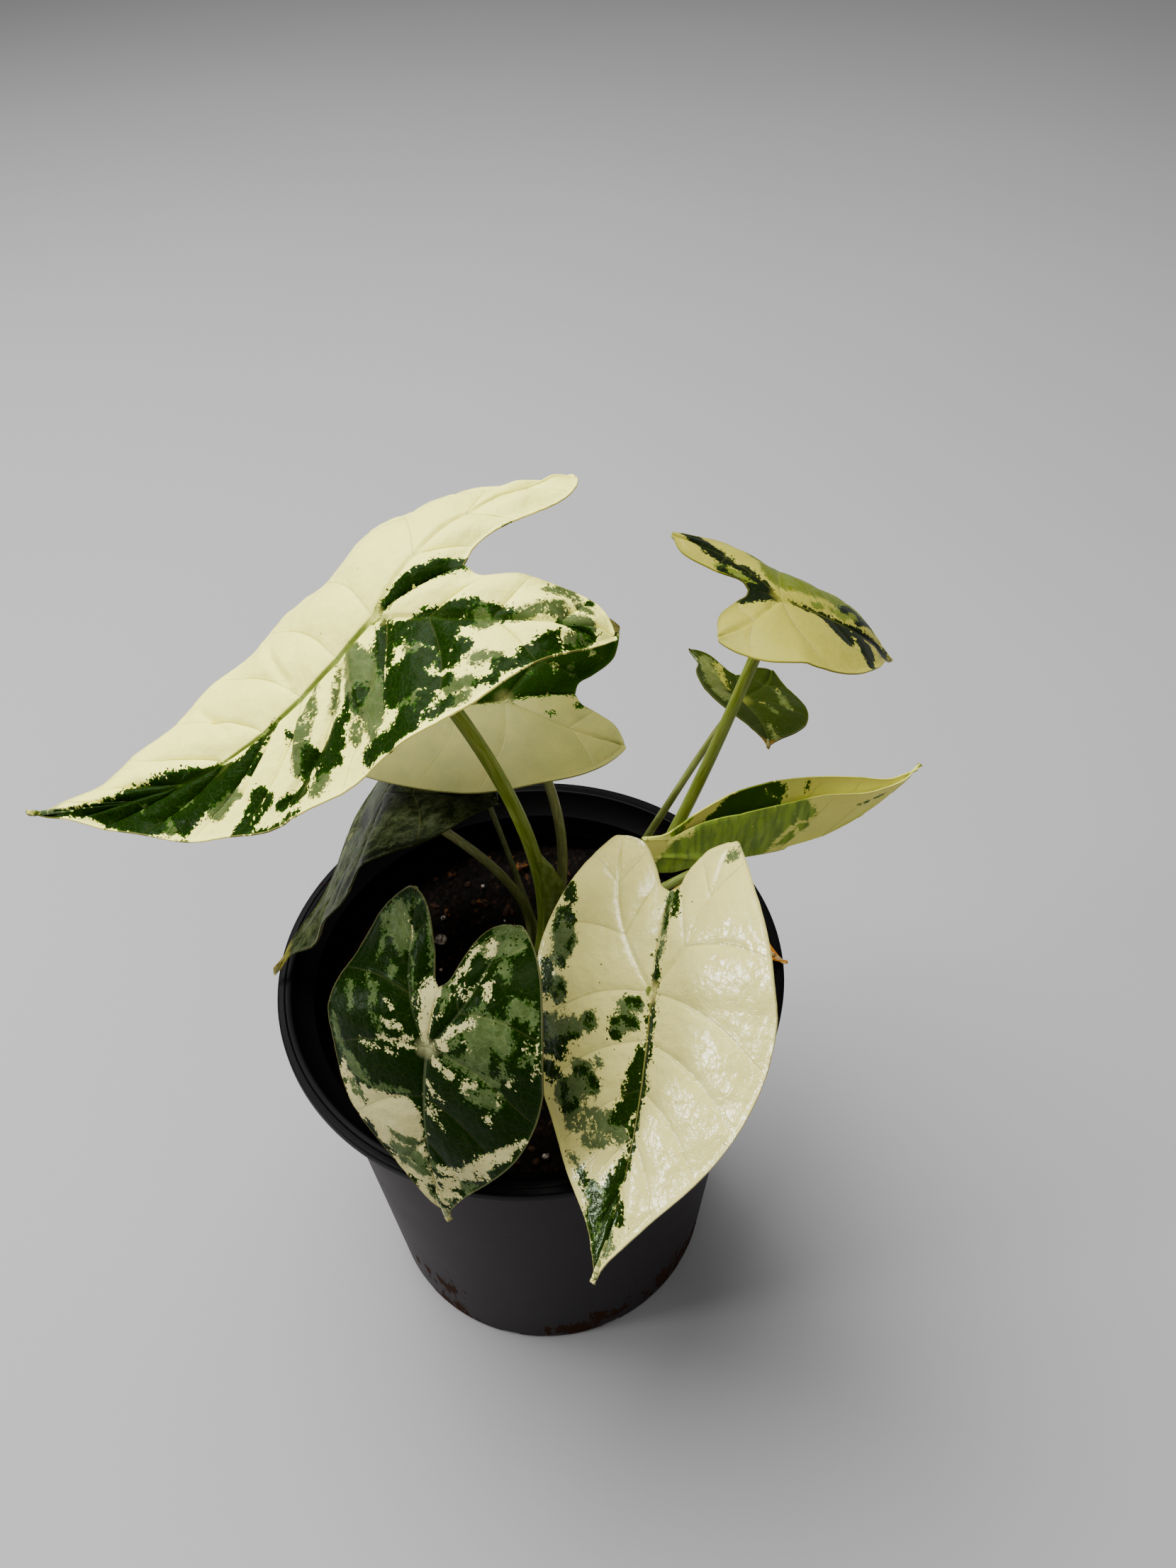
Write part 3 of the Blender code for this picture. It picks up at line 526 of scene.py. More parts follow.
LEAVES = {
    "large": Leaf(
        Stem(208, 2.3, 1.9, 34, -19, 50, 165, 54), (-29.5, 6.5, 266), 179, -42, -17, 109,
        half=(38, 34), lobe=(55, 58), spread=(24.5, 24), notch=25, bend=(-9, 59), sway=-1, bow=6.5,
        fold=(-1, 11), curl=(9, -51), lobe_fold=(-6, -9), lift=(-28, -48, -16)),
    "shaded": Leaf(
        Stem(100, 1.7, 1.4, 27, -15, 43, 140, 50), (-1.5, 44.5, 204.5), 186, -4, -16, 66,
        half=(33, 33), lobe=(32, 34), spread=(18, 20), notch=21, bend=(-17, 1), sway=0.5, bow=-2,
        fold=(11, 20), curl=(0, -5), lobe_fold=(-5, 18), lift=(-27, -3, -4)),
    "draped": Leaf(
        Stem(165, 1.6, 1.3, 36, -5, 28, 160, 40), (-38.5, 35.5, 180.5), 185, -50, -10, 57,
        half=(35, 34), lobe=(33, 34), spread=(22, 21), notch=17, bend=(-6, 47), sway=29, bow=7,
        fold=(26, -28), curl=(0, 0), lobe_fold=(-29, 0), lift=(-25, -35, -55)),
    "front_left": Leaf(
        Stem(243, 1.7, 1.4, 30, 10, 32, 245, 25), (-26.5, -58, 186), 246, -67, 6, 58,
        half=(31, 30), lobe=(35, 36), spread=(11.5, 12), notch=15.5, bend=(-20, 4), sway=5.5, bow=-1,
        fold=(3, 7), curl=(-5, -27), lobe_fold=(15, -17), lift=(-29, -62, 40)),
    "front_right": Leaf(
        Stem(276, 1.8, 1.5, 28, 10, 30, 285, 35), (28.5, -50.5, 190), 256, -43, 28, 71.7,
        half=(36, 36), lobe=(36, 38), spread=(16.5, 17), notch=25, bend=(-2, 16), sway=-5.5, bow=0.5,
        fold=(8, 4), curl=(-4, -14), lobe_fold=(16, 2), lift=(-21, -29, 14)),
    "rolled": Leaf(
        Stem(308, 1.6, 1.3, 24, 10, 26, 345, 40), (56.5, -4, 184), 20, 0, 18, 67,
        half=(22, 20), lobe=(29, 28), spread=(20, 12), notch=11.5, bend=(-4, 3), sway=5.5, bow=-5,
        fold=(60, 84), curl=(8, 27), lobe_fold=(10, 21), lift=(0, 5, 4)),
    "high": Leaf(
        Stem(342, 1.9, 1.5, 51, 30, 51, -10, 75), (65, 3.5, 265), -3, -26, -4, 43,
        half=(24, 26), lobe=(25, 17), spread=(16, 15), notch=8.5, bend=(-21, -13), sway=10, bow=-0.5,
        fold=(11, 4), curl=(-48, -6), lobe_fold=(21, -18), lift=(-14, -7, -1)),
    "small": Leaf(
        Stem(52, 1.3, 1.0, 38, 35, 28, 10, 55), (63.5, 28, 212.5), -91, 10, -13, 23,
        half=(19, 14), lobe=(17, 18), spread=(12, 13), notch=11, bend=(-5, 2), sway=3.5, bow=3,
        fold=(5, 23), curl=(-13, -8), lobe_fold=(-8, -12), lift=(10, 11, 7)),
    "old": Leaf(
        Stem(15, 1.2, 0.9, 13, 10, 14, -20, 25), (48, 8, 146), -35, -4, 0, 33,
        half=(12, 12), lobe=(9, 9), spread=(5, 5), notch=4, bend=(-6, 0), sway=0, bow=0,
        fold=(12, 12), curl=(-20, -20), lobe_fold=(0, 0), lift=(-15, -20, -20)),
    "rear": Leaf(
        Stem(132, 1.1, 0.8, 20, 35, 21, 115, 40), (-15, 60, 172), 160, -25, 0, 25,
        half=(11, 11), lobe=(12, 12), spread=(6, 6), notch=5, bend=(-15, 0), sway=0, bow=0,
        fold=(12, 12), curl=(-15, -15), lobe_fold=(0, 0), lift=(-10, -15, -15)),
}
# Colours of each stalk: at its foot, halfway, and under the blade
STALK_TONES = {
    "large": ("#5c700a", "#6c7e0c", "#7c8c14"), "high": ("#586a08", "#6a7a0c", "#7a8a16"),
    "shaded": ("#6c7238", "#84874e", "#96985e"), "draped": ("#6a7038", "#7c7e48", "#8c8c58"),
    "small": ("#56641a", "#68742e", "#747c34"), "rear": ("#50562a", "#5c6036", "#666a3e"),
}
PLAIN_STALK = ("#4e5e10", "#627020", "#727e2e")


def direction(heading, climb):
    """Unit vector of a compass heading and a climb."""
    h, c = math.radians(heading), math.radians(climb)
    return Vector((math.cos(h) * math.cos(c), math.sin(h) * math.cos(c), math.sin(c)))


def leaf_axes(leaf):
    """Blade axes at the joint: along the midrib, across to the left, and up out of the blade."""
    along = direction(leaf.heading, leaf.pitch)
    flat_left = direction(leaf.heading + 90, 0)
    up = along.cross(flat_left)
    turned = math.radians(leaf.roll)
    across = flat_left * math.cos(turned) + up * math.sin(turned)
    return along, across, along.cross(across)


def stalk_pulls(leaf):
    """Foot, two pulls and head of a stalk's curve, in mm."""
    stem = leaf.stem
    angle = math.radians(stem.place)
    foot = Vector((CROWN_X + CROWN_RADIUS * math.cos(angle), CROWN_Y + CROWN_RADIUS * math.sin(angle),
                   SOIL_LEVEL))
    head = Vector(leaf.joint) - leaf_axes(leaf)[2] * BLADE_THICK / 2
    to_blade = math.degrees(math.atan2(head.y - foot.y, head.x - foot.x))
    return (foot, foot + direction(to_blade, 90 - stem.lean) * stem.rise,
            head - direction(stem.heading, stem.climb) * stem.reach, head)


def stalk_surface(name, tones):
    """Smooth wet-looking skin of a stalk: darker streaks along it, paler towards one end."""
    mat, tree, shader = new_surface(name, Roughness=0.42, IOR=1.42, Specular_IOR_Level=0.2,
                                    Subsurface_Weight=0.15, Subsurface_Scale=0.0015)
    way = add(tree, "Attribute", attribute_name="way").outputs["Vector"]
    along = add(tree, "SeparateXYZ", (way,)).outputs["X"]
    ramp = add(tree, "ValToRGB", (along,))
    ramp.color_ramp.elements[0].color = linear(tones[0])
    ramp.color_ramp.elements[1].color = linear(tones[2])
    ramp.color_ramp.elements.new(0.5).color = linear(tones[1])
    stretched = add(tree, "Mapping", {"Vector": way, "Scale": (9.0, 2.2, 2.2)})
    streak = add(tree, "TexNoise", {"Vector": stretched, "Scale": 1.6, "Detail": 5.0})
    lines = add(tree, "MapRange", (streak, 0.35, 0.7))
    dark = add(tree, "MixRGB", (0.3, ramp, "#2f4112"))
    pale = add(tree, "MixRGB", (0.2, ramp, "#c3c98a"))
    skin = add(tree, "MixRGB", (lines, dark, pale))
    tree.links.new(skin.outputs["Color"], shader.inputs["Base Color"])
    bump = add(tree, "Bump", {"Height": streak, "Strength": 0.4, "Distance": 0.0004})
    tree.links.new(bump.outputs["Normal"], shader.inputs["Normal"])
    return mat


def on_stalk(leaf, share):
    """Point of a stalk's curve above the soil, at a share of its parameter."""
    pulls = stalk_pulls(leaf)
    rest = 1 - share
    weights = (rest ** 3, 3 * share * rest ** 2, 3 * share ** 2 * rest, share ** 3)
    return sum((pull * weight for pull, weight in zip(pulls, weights)), Vector())


def lay_way(piece, path, across):
    """Store on each point how far it is along a path (0 to 1) and its direction round it."""
    line = np.array([tuple(p) for p in path]) * MM
    co = np.array([v.co for v in piece.data.vertices])
    nearest = np.argmin(((co[:, None, :] - line[None, :, :]) ** 2).sum(2), axis=1)
    off = (co - line[nearest]) / MM / across
    off = off / np.maximum(np.linalg.norm(off, axis=1, keepdims=True), 0.001)
    values = np.column_stack([nearest / (len(path) - 1), off[:, 0], off[:, 1]])
    piece.data.attributes.new("way", "FLOAT_VECTOR", "POINT").data.foreach_set("vector", values.ravel())


def stalk(name, leaf):
    """A stalk as a bezier curve with a round bevel, made a mesh."""
    foot, pull_up, pull_in, head = stalk_pulls(leaf)
    stem = leaf.stem
    bpy.ops.object.select_all(action="DESELECT")
    bpy.ops.curve.primitive_bezier_curve_add()
    piece = bpy.context.object
    piece.name = f"stalk_{name}"
    curve = piece.data
    curve.resolution_u = STALK_STEPS
    curve.bevel_depth = MM
    curve.bevel_resolution = STALK_SIDES // 2 - 2
    curve.use_fill_caps = True
    spline = curve.splines[0]
    spline.bezier_points.add(1)
    under = foot - Vector((0, 0, HOLE_DEPTH - GAP))
    ends = ((under, under, under.lerp(foot, 0.4), stem.base),
            (foot.lerp(under, 0.4), foot, pull_up, stem.base),
            (pull_in, head, head, stem.top))
    for point, (before, at, after, radius) in zip(spline.bezier_points, ends):
        point.handle_left_type = point.handle_right_type = "FREE"
        point.handle_left, point.co, point.handle_right = before * MM, at * MM, after * MM
        point.radius = radius
    bpy.ops.object.convert(target="MESH")
    piece = bpy.context.object
    lay_way(piece, [on_stalk(leaf, i / 100) for i in range(101)], stem.base)
    bpy.ops.object.shade_smooth_by_angle(angle=math.radians(50))
    return piece


for name, leaf in LEAVES.items():
    piece = stalk(name, leaf)
    dress(piece, stalk_surface(f"stalk_skin_{name}", STALK_TONES.get(name, PLAIN_STALK)))
    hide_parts(f"stem_{name}")


# Stalk sheath
# The big leaf's stalk is wrapped at its foot by a thin green sheath. Its free edge stands off to the
# right, with paler lengthwise streaks, and runs up the stalk to a blunt point.
SHEATH_FROM, SHEATH_TO, SHEATH_FLARE, SHEATH_THICK = 0.10, 0.41, 4.4, 0.35
SHEATH_FACING, SHEATH_WRAP = -12.0, 60.0

bpy.ops.object.select_all(action="DESELECT")
bpy.ops.mesh.primitive_grid_add(x_subdivisions=28, y_subdivisions=36, size=2)
sheath = bpy.context.object
sheath.name = "stalk_sheath"
foot_radius = LEAVES["large"].stem.base
path = [on_stalk(LEAVES["large"], SHEATH_FROM + (SHEATH_TO - SHEATH_FROM) * i / 40) for i in range(41)]
for vert in sheath.data.vertices:
    turn, height = vert.co.x, (vert.co.y + 1) / 2
    free = (1 - abs(turn)) ** 1.2 * math.sin(math.pi * height ** 1.8)
    out = direction(SHEATH_FACING + SHEATH_WRAP * turn, 0) * (foot_radius - 0.05 + SHEATH_FLARE * free)
    vert.co = (path[round(40 * height)] + out) * MM
lay_way(sheath, path, foot_radius)
shell = sheath.modifiers.new("shell", "SOLIDIFY")
shell.thickness = SHEATH_THICK * MM
shell.offset = -1
bpy.ops.object.modifier_apply(modifier="shell")
bpy.ops.object.shade_smooth_by_angle(angle=math.radians(50))
dress(sheath, stalk_surface("sheath_skin", ("#46580c", "#5a6a14", "#6c7c1c")))


# Blades
# Ten arrow-shaped leaf blades, thin and a little fleshy, glossy on top and paler beneath. Each half
# is marbled in its own way: cream, grey-green where one green layer shows through, and dark green.
# Some grey and cream strokes are painted sheen, glints and a highlight, one dark band is a painted
# shadow, and the blades that lie under the big leaf have colours painted darker as its shade.
VEIN_SPACING = 13.0
VEIN_BOW = 0.10
VEIN_SINK, VEIN_HALF, VEIN_TONE = 0.22, 0.5, "#8c8a4e"
RIB_SINK, RIB_HALF = 0.40, 0.9
BEAD_RISE, BEAD_SINK, BEAD_IN, BEAD_HALF = 0.14, 0.10, 1.3, 0.35
TOP_RISE = 0.25
THIN, RIB_THICK = 0.4, 1.3
CURL_STEPS = 12
JOINT_ON_MARGIN = 4.6 / 9
RIB_ARCH = 0.12
FRONT_OUTLINE = ((1.0, 0.0), (0.93, 0.05), (0.80, 0.22), (0.60, 0.55), (0.36, 0.85), (0.08, 1.0))
BACK_OUTLINE = ((-0.30, 0.97, 0.0), (-0.68, 0.80, 0.02), (-0.95, 0.22, 0.76), (-1.0, 0.0, 1.0))
NOTCH_OUTLINE = ((1.0, 1.0), (0.90, 0.60), (0.45, 0.32), (0.12, 0.18), (0.0, 0.0))
NOWHERE, EVERYWHERE = -30.0, 4.0
FAINT_DEPTH, MID_DEPTH = 0.45, 0.3


@dataclass(frozen=True)
class Finish:
    """Look of one blade. Markings are painted in order, each a list of strokes in mm from the joint:
    (across, along) at its start and at its end, and its half width at each."""
    ground: str                     # what covers the blade before the markings
    cream: str
    grey: str
    mid: str
    dark: str
    rib: str
    rib_width: float
    marks: tuple
    gloss: float = 0.38             # roughness
    shine: float = 0.12             # strength of the reflections
    quilt: tuple = (0.5, 0.5)       # rise between the side veins of each half
    lumps: float = 0.12             # unevenness that breaks up the highlights
    wave: float = 0.4               # waviness of the margin
    jagged: float = 1.0             # how ragged the edges of the markings are
    spread: float = 0.2             # how far the markings reach past their strokes
    cell: float = 0.9               # size of the mesh's cells
    paler: float = 0.42             # how much paler the underside is
    tip: tuple = ("#8c7a2e", 0.0)   # colour of a dried tip, and its length
    specks: float = 0.0             # share of tiny brown specks
    streaks: float = 0.15           # how strongly the green layers under the grey show as streaks
    creases: tuple = ()             # strokes, each with a height, where the blade puckers


FINISHES = {
    "large": Finish(
        "cream", "#f8f27e", "#3e4a24", "#224404", "#081800", "#3e580a", 1.5, (
            # The first three dark strokes, from the notch along the midrib to the joint, are a painted
            # shadow band under the rolled edge
            ("dark", ((0.3, -27, -1, -22, 0.9, 1.6), (-1, -22, -1.7, -12, 1.7, 1.9),
                      (-1.7, -12, -0.6, -2, 1.8, 0.8), (11, -13, 9, -1, 1.6, 2.0), (9, -1, 13, 2, 1.8, 1.4),
                      (14, -20, 12, -10, 2.2, 2.4), (12, -17, 14, -23, 3.4, 3.2),
                      (14.5, -13.5, 17, -17, 2.8, 2.8), (9, -8, 9.2, -15, 1.1, 1.3),
                      (12.5, -9, 14, -10.5, 1.3, 1.2), (15.5, -28, 17, -30.5, 1.7, 1.3),
                      (4, -1.5, 8, 1, 1.1, 1.4), (5, -4, 16, -2.5, 0.8, 1.1), (7, -6, 12, -6, 0.8, 0.9),
                      (20, -11, 22, -3, 2.4, 3.4), (25, -8, 25.5, -2, 2.6, 2.8),
                      (19, -17, 20, -15.5, 1.7, 1.8), (22.5, -19.5, 24.5, -17, 1.8, 1.7),
                      (21.5, -15, 24, -14, 1.6, 1.2), (31, -26, 31, -30, 1.2, 1.0),
                      (29, -33, 27.5, -38, 2.3, 2.3), (31, -31, 30.5, -36, 1.4, 1.3),
                      (28, -11.5, 28.3, -14, 1.5, 1.3), (32.5, -20, 33.5, -24, 0.6, 0.6),
                      (30, -9, 33, -6, 1.8, 1.6), (31, -4, 33, -3, 1.5, 1.5), (34, -13, 34.5, -9, 1.0, 1.2),
                      (34, -4, 35.5, 1.5, 2.5, 2.3), (34, 4, 34.5, 8.5, 1.9, 2.4),
                      (19.5, 17, 24, 17.5, 2, 2.5), (24, 21, 26.5, 20, 2, 2), (21, 20, 23, 24, 1.5, 1.9),
                      (27, 25, 28, 19, 1.1, 1.5), (6, 33.5, 9, 33, 0.4, 0.5), (18, 27, 26, 30.5, 1.6, 1.8),
                      (27.5, 31, 26.5, 39, 1.9, 1.0), (18.5, 45.5, 22, 46.5, 2.0, 3.0),
                      (22, 46.5, 25, 51, 3.0, 2.2), (25, 51, 27.5, 56, 2.0, 1.0),
                      (22, 42, 23, 43.5, 1.5, 1.6), (33, 33.5, 31, 39, 0.4, 0.8),
                      (31, 42, 30.5, 47, 1.0, 1.2), (30, 47, 29, 52, 1.0, 0.8),
                      (22, -42, 23, -44, 1.0, 1.2), (24, -46, 26, -48, 1.0, 1.0),
                      (28.5, -42, 27.5, -46, 0.7, 0.7), (15, -52, 15.8, -51, 0.5, 0.6),
                      (0.8, 37, 2.5, 44, 0.7, 1.6), (2.5, 44, 6.8, 50, 1.6, 3.3),
                      (6.8, 50, 6, 60, 3.3, 6.3), (6, 60, 5.5, 70, 6.6, 8.6), (5.5, 70, 4.8, 80, 8.6, 7.5),
                      (4.5, 80, 2.5, 88, 7.4, 3.8), (2, 88, 1.3, 94, 3.0, 1.2),
                      (1.2, 94, 1.0, 106, 1.0, 0.5), (12, 66, 15, 69.5, 3.0, 1.2),
                      (17, 77, 19.5, 71, 1.5, 1.2), (14, 82, 17, 77, 1.6, 1.5),
                      (7, 42.5, 9, 46, 1.0, 1.4))),
            # Some grey strokes are painted light: the ones at (27, -22) and (8.5, 69) are painted glints,
            # and the band on the raised fold from (3, 8.5) to (30, 6.3) is a painted blue-grey sheen
            ("grey", ((15, -25.5, 18, -25.5, 2.2, 2.0), (27, -22, 28.3, -26, 1.5, 1.2),
                      (31, -15, 31.5, -18, 1.7, 1.3), (29.5, -6.5, 29, -3.5, 1, 1),
                      (3, 8.5, 12, 7, 2.4, 5.0), (12, 7, 22, 6, 5.0, 3.8), (22, 6, 30, 6.3, 3.8, 1.2),
                      (3, 14.5, 13.5, 17, 0.6, 2.3), (30, 24, 31, 27, 2.0, 1.8),
                      (21, -44, 23, -48, 1.6, 1.4), (27, -43, 26, -47, 1.1, 1.1),
                      (13.8, 53, 15, 58, 2.2, 3.0), (8.5, 69, 7.5, 65.5, 1.2, 1.2),
                      (10, 73, 13.5, 72.5, 1.0, 1.3), (3, 79, 6, 80, 0.8, 0.5),
                      (34, -17, 34.5, -15, 1.2, 1.2))),
            ("cream", ((15.5, 74, 16.8, 70.5, 0.8, 0.9), (21, 44.5, 24, 45.5, 0.3, 0.4),
                       (21, 50, 24, 48.5, 0.3, 0.5), (14, -20, 12, -25, 0.2, 0.3),
                       (9, -12, 11, -9, 0.3, 0.2), (13, -4.5, 15, -5, 0.5, 0.4))),
            ("faint", ((24, 11, 27, 12, 1.8, 1.5), (8, 25, 15, 29.5, 2.6, 2.4),
                       (15, 29.5, 21, 32, 2.2, 1.0), (2, 22, 6, 25, 0.8, 2), (12, -42, 13, -47, 1.5, 1.9),
                       (15, -47, 19, -49, 1.3, 1.2), (18.5, -33, 18, -43, 1.2, 1.6),
                       (15.5, -8, 18, -9.5, 1.5, 1.0))),
            ("dark", ((17, 7.5, 19, 9, 1.5, 1.4), (15.5, 11, 17.5, 13, 1.1, 1.0),
                      (19.5, 13, 20, 17, 1.1, 1.0), (12, 1.5, 26, 1.5, 0.4, 0.7),
                      (-6, -38, -5, -35, 0.4, 0.3)))),
        gloss=0.30, shine=0.10, quilt=(1.8, 1.8), lumps=0.20, wave=0.7, jagged=0.8, spread=0.55, cell=0.8,
        specks=0.004,
        creases=((3, -2, 28, 4, 2.0, 2.2, -2.4), (3, 13, 18, 21, 2.0, 2.4, -2.6),
                 (18, 21, 27, 38, 2.2, 1.8, -2.0), (4, 40, 15, 51, 1.8, 1.8, -2.2),
                 (4, 8, 20, 8, 3.5, 4.4, 2.2), (8, 27, 16, 30, 3, 3, 1.8),
                 (-6, 30, -20, 36, 2.4, 2.4, -1.4), (-6, 52, -16, 60, 2.2, 2.2, -1.3))),
    # Lying under the big leaf, this blade has all its colours painted darker as that leaf's shade
    "shaded": Finish(
        "cream", "#767640", "#323c1a", "#264a08", "#0e2200", "#4e4c22", 0.5, (
            ("dark", ((-5, 4, -5, -28, 5.5, 5.5), (-14, 0, -14, -28, 6, 7), (-24, -8, -24, -22, 6, 6),
                      (1.5, -26, 4, -21, 0.8, 0.6), (7.5, -12, 7.8, -12.4, 0.3, 0.3))),
            ("grey", ((-18, -12, -13, -14, 0.8, 0.6), (-10, -8, -7, -9, 0.6, 0.5),
                      (-18, -24, -14, -25, 0.8, 0.6), (-8, -20, -5, -21, 0.5, 0.5))),
            ("cream", ((-12.5, -26, -13.5, -26, 0.5, 0.4), (-9, -15, -7, -15.5, 0.3, 0.2)))),
        gloss=0.45, shine=0.1, quilt=(0.4, 0.5), lumps=0.08),
    # Its dark dull greens are partly its own colour and partly painted shade from the leaves above
    "draped": Finish(
        "grey", "#4c4e26", "#151c08", "#111a05", "#0c1203", "#2a3212", 0.6, (
            ("dark", ((4, -6, 8, 2, 1.6, 2.0), (10, -4, 16, -2, 1.2, 1.0), (6, 8, 16, 12, 2.2, 2.4),
                      (10, 20, 18, 24, 2, 1.6), (-8, -4, -20, 4, 2.4, 3), (-6, 14, -18, 20, 2, 2.4),
                      (5, 30, 10, 38, 1.4, 1.2), (33, -20, 33, 0, 1.2, 1.4), (30, 4, 26, 16, 1.4, 1.6))),
            ("faint", ((26, -10, 27, -4, 1.0, 0.9),)),
            ("cream", ((5, -10, 6, -9, 0.4, 0.3), (-28, -14, -25, -6, 0.7, 0.6),
                       (-12, -24, -16, -18, 0.6, 0.5), (24, 12, 27, 18, 0.5, 0.4),
                       (-20, 26, -16, 31, 0.5, 0.5), (14, 34, 12, 42, 0.6, 0.5)))),
        gloss=0.36, shine=0.05, quilt=(1.3, 0.9), lumps=0.10, wave=0.9, jagged=0.7, streaks=0.0,
        tip=("#8a8436", 8.0)),
    # Its cream is painted darker than the front right blade's, as the shade of the leaves above it
    "front_left": Finish(
        "dark", "#a8a270", "#364522", "#183404", "#061400", "#6a7450", 0.5, (
            # The grey strokes along the left margin, from (-28, 2) to (-4, 14), are a painted silvery
            # sheen, and the grey patches on the lobe top, from (9, -33) to (18, -22), are a painted wet
            # sheen
            ("grey", ((-16, -27, -13, -24, 4.4, 3.4), (-21, -24.5, -18, -28, 1.5, 1.8),
                      (-19, -21, -19, -18, 1.1, 0.9), (-13.3, -16, -13, -14, 1.1, 0.8),
                      (-17, -10, -16, -7, 1.2, 1.1), (-25, -8, -23, -4, 0.9, 1.2),
                      (-20, -12, -18, -9.5, 0.8, 0.9), (-14, -31, -9, -35, 0.4, 0.5),
                      (-6.5, -34, -4, -20, 0.5, 0.4), (-9, -20, -6, -12, 0.15, 0.2),
                      (-16, -5, -13, -1, 0.4, 0.6), (-28, 2, -27, 8, 1.0, 1.3),
                      (-26, 10, -22, 13, 1.4, 1.5), (-22, 14, -15, 16.5, 1.6, 1.2),
                      (-15, 16.5, -4, 14, 0.8, 0.7), (-22, 11, -17, 14, 1.0, 1.2),
                      (9, -33, 16, -32, 2.4, 2.2), (9, -27, 13, -28.5, 2.6, 2.6),
                      (15, -28, 18, -29, 1.8, 1.4), (15, -24, 17, -22, 1.4, 1.0),
                      (22, -17, 26, -16, 2.2, 2.0), (2.5, -18, 2.5, -12, 0.8, 0.7),
                      (13.3, -15, 12, -13, 0.6, 0.7), (12, -12, 19, -11, 2.3, 2.8),
                      (13, -8, 20, -9, 3.2, 3.2), (14, -3, 19, -2, 3.8, 3.4), (13, 1.5, 19, 2, 1.6, 1.8),
                      (6, 0.2, 12, 1, 1.2, 1.8), (13, 8, 19.5, 8, 1.4, 1.8), (14, 6, 20, 5.5, 1.2, 1.2),
                      (25.5, -6, 28, -8, 0.8, 0.8))),
            ("cream", ((-1.5, -14.5, -1.0, -4, 2.8, 1.4), (-1.0, -5, -0.5, -1, 1.2, 0.8),
                       (-12, -28, -10.5, -24, 0.5, 0.5), (-13, -8, -10.5, -7.5, 0.4, 0.6),
                       (-12, -3.6, -8, -3.2, 0.4, 0.7), (-8, -3.4, -4, -1, 0.6, 0.25),
                       (-13, 1, -8, 1, 0.8, 0.6), (-8, 1, -3, 0.8, 0.6, 0.35), (-8, -18, -5, -9, 0.12, 0.2),
                       (-19, 5, -9, 4.2, 0.14, 0.14), (6.5, -27, 5, -21, 0.9, 1.2),
                       (5, -21, 3, -17, 1.2, 0.5), (4, -17, 2.5, -10, 0.25, 0.25),
                       (5.5, -17.5, 5.4, -15, 0.6, 0.4), (13.5, -19, 14, -17, 1.3, 0.8),
                       # The cream stroke at (9, -29) is a painted highlight on the lobe top
                       (11, -22, 8, -15, 0.12, 0.2), (9, -29, 10, -26, 1.2, 1.2), (2, -2, 6, -6, 0.7, 1.3),
                       (6, -6.5, 11.3, -11, 1.4, 1.1), (4, -3, 5, -2, 1.2, 1.0),
                       (10, -6, 11, -4.5, 0.6, 0.5), (3, 3, 7, 4.2, 1.0, 1.1), (2, 2, 3, 3, 0.5, 0.8),
                       (11, 6, 14, 4.6, 1.2, 0.9), (11, 7, 12, 8, 0.8, 0.6), (20.5, 5, 20.6, 9, 0.35, 0.3),
                       (18, 13, 18.5, 14, 0.8, 0.6), (22.7, -0.5, 22.8, 1, 0.6, 0.7),
                       (26, -11, 27, -9, 0.5, 0.6), (28.7, -13, 28.9, -4, 0.3, 0.4),
                       (0.8, 9, 3.5, 13.5, 0.25, 0.5), (1, 14, 4, 18, 0.2, 0.3),
                       (0.5, 17, 3, 20, 0.15, 0.3), (4, 12, 5.5, 14, 0.15, 0.2),
                       (3, 20, 5, 21.5, 0.15, 0.2), (-23, 18.5, -20, 26, 2.2, 4),
                       (-16, 20.5, -5, 20.5, 3.2, 4.0), (-14, 26, -5, 26, 5, 5), (-11, 32, -4, 34, 5, 4.2),
                       (-7, 40, -2.4, 42, 4.4, 2.6), (-4, 47, -1.5, 52, 2.4, 1.4),
                       (-24.5, 15, -25.5, 20, 1.2, 1.3), (16, 29, 22, 23, 1.6, 1.7),
                       (22, 23, 27, 17, 1.5, 0.7), (12, 33, 17, 28, 2.0, 2.0), (9, 36, 15, 33, 1.8, 2.2),
                       (3, 37, 8, 37, 1.4, 1.8), (4, 42, 7, 40, 2.0, 2.0), (3, 46, 6, 45, 1.8, 1.5),
                       (1.5, 50, 3, 48, 1.1, 1.1), (0.5, 53, 0, 58, 1.2, 0.8), (-1, 35, 1, 47, 1.0, 1.6))),
            ("grey", ((-22, 19, -21, 22, 1.3, 1.4), (-19, 21, -18, 24, 1.0, 0.6),
                      (-9, 30, -4, 31, 1.6, 2.0), (-10, 35, -3, 36, 2.0, 2.8), (-8, 39, -3, 40, 2.2, 2.0),
                      (-2.5, 47, -1.5, 50, 0.6, 0.5), (7, -4, 8.5, -6, 1.1, 0.9), (8, 40, 10, 42, 1.1, 1.3),
                      (12, 38.5, 10, 40, 0.8, 1.0), (3, 48.5, 4, 50, 0.7, 0.5),
                      (1.2, 38, 1.4, 36, 0.4, 0.5))),
            ("dark", ((18.5, -5, 19, 0, 1.4, 1.3), (25, -14, 26.5, -13.5, 0.9, 0.7),
                      (13.5, 34, 15.5, 34.5, 0.8, 0.8), (1.6, 40, 2.3, 44, 0.6, 0.5),
                      (25.5, 22, 23, 26, 0.3, 0.2), (5, 3, 16, 3.4, 0.15, 0.25)))),
        gloss=0.28, shine=0.06, quilt=(0.7, 0.6), lumps=0.14, wave=0.4, spread=0.1, cell=0.7,
        tip=("#b09a3a", 2.5)),
    "front_right": Finish(
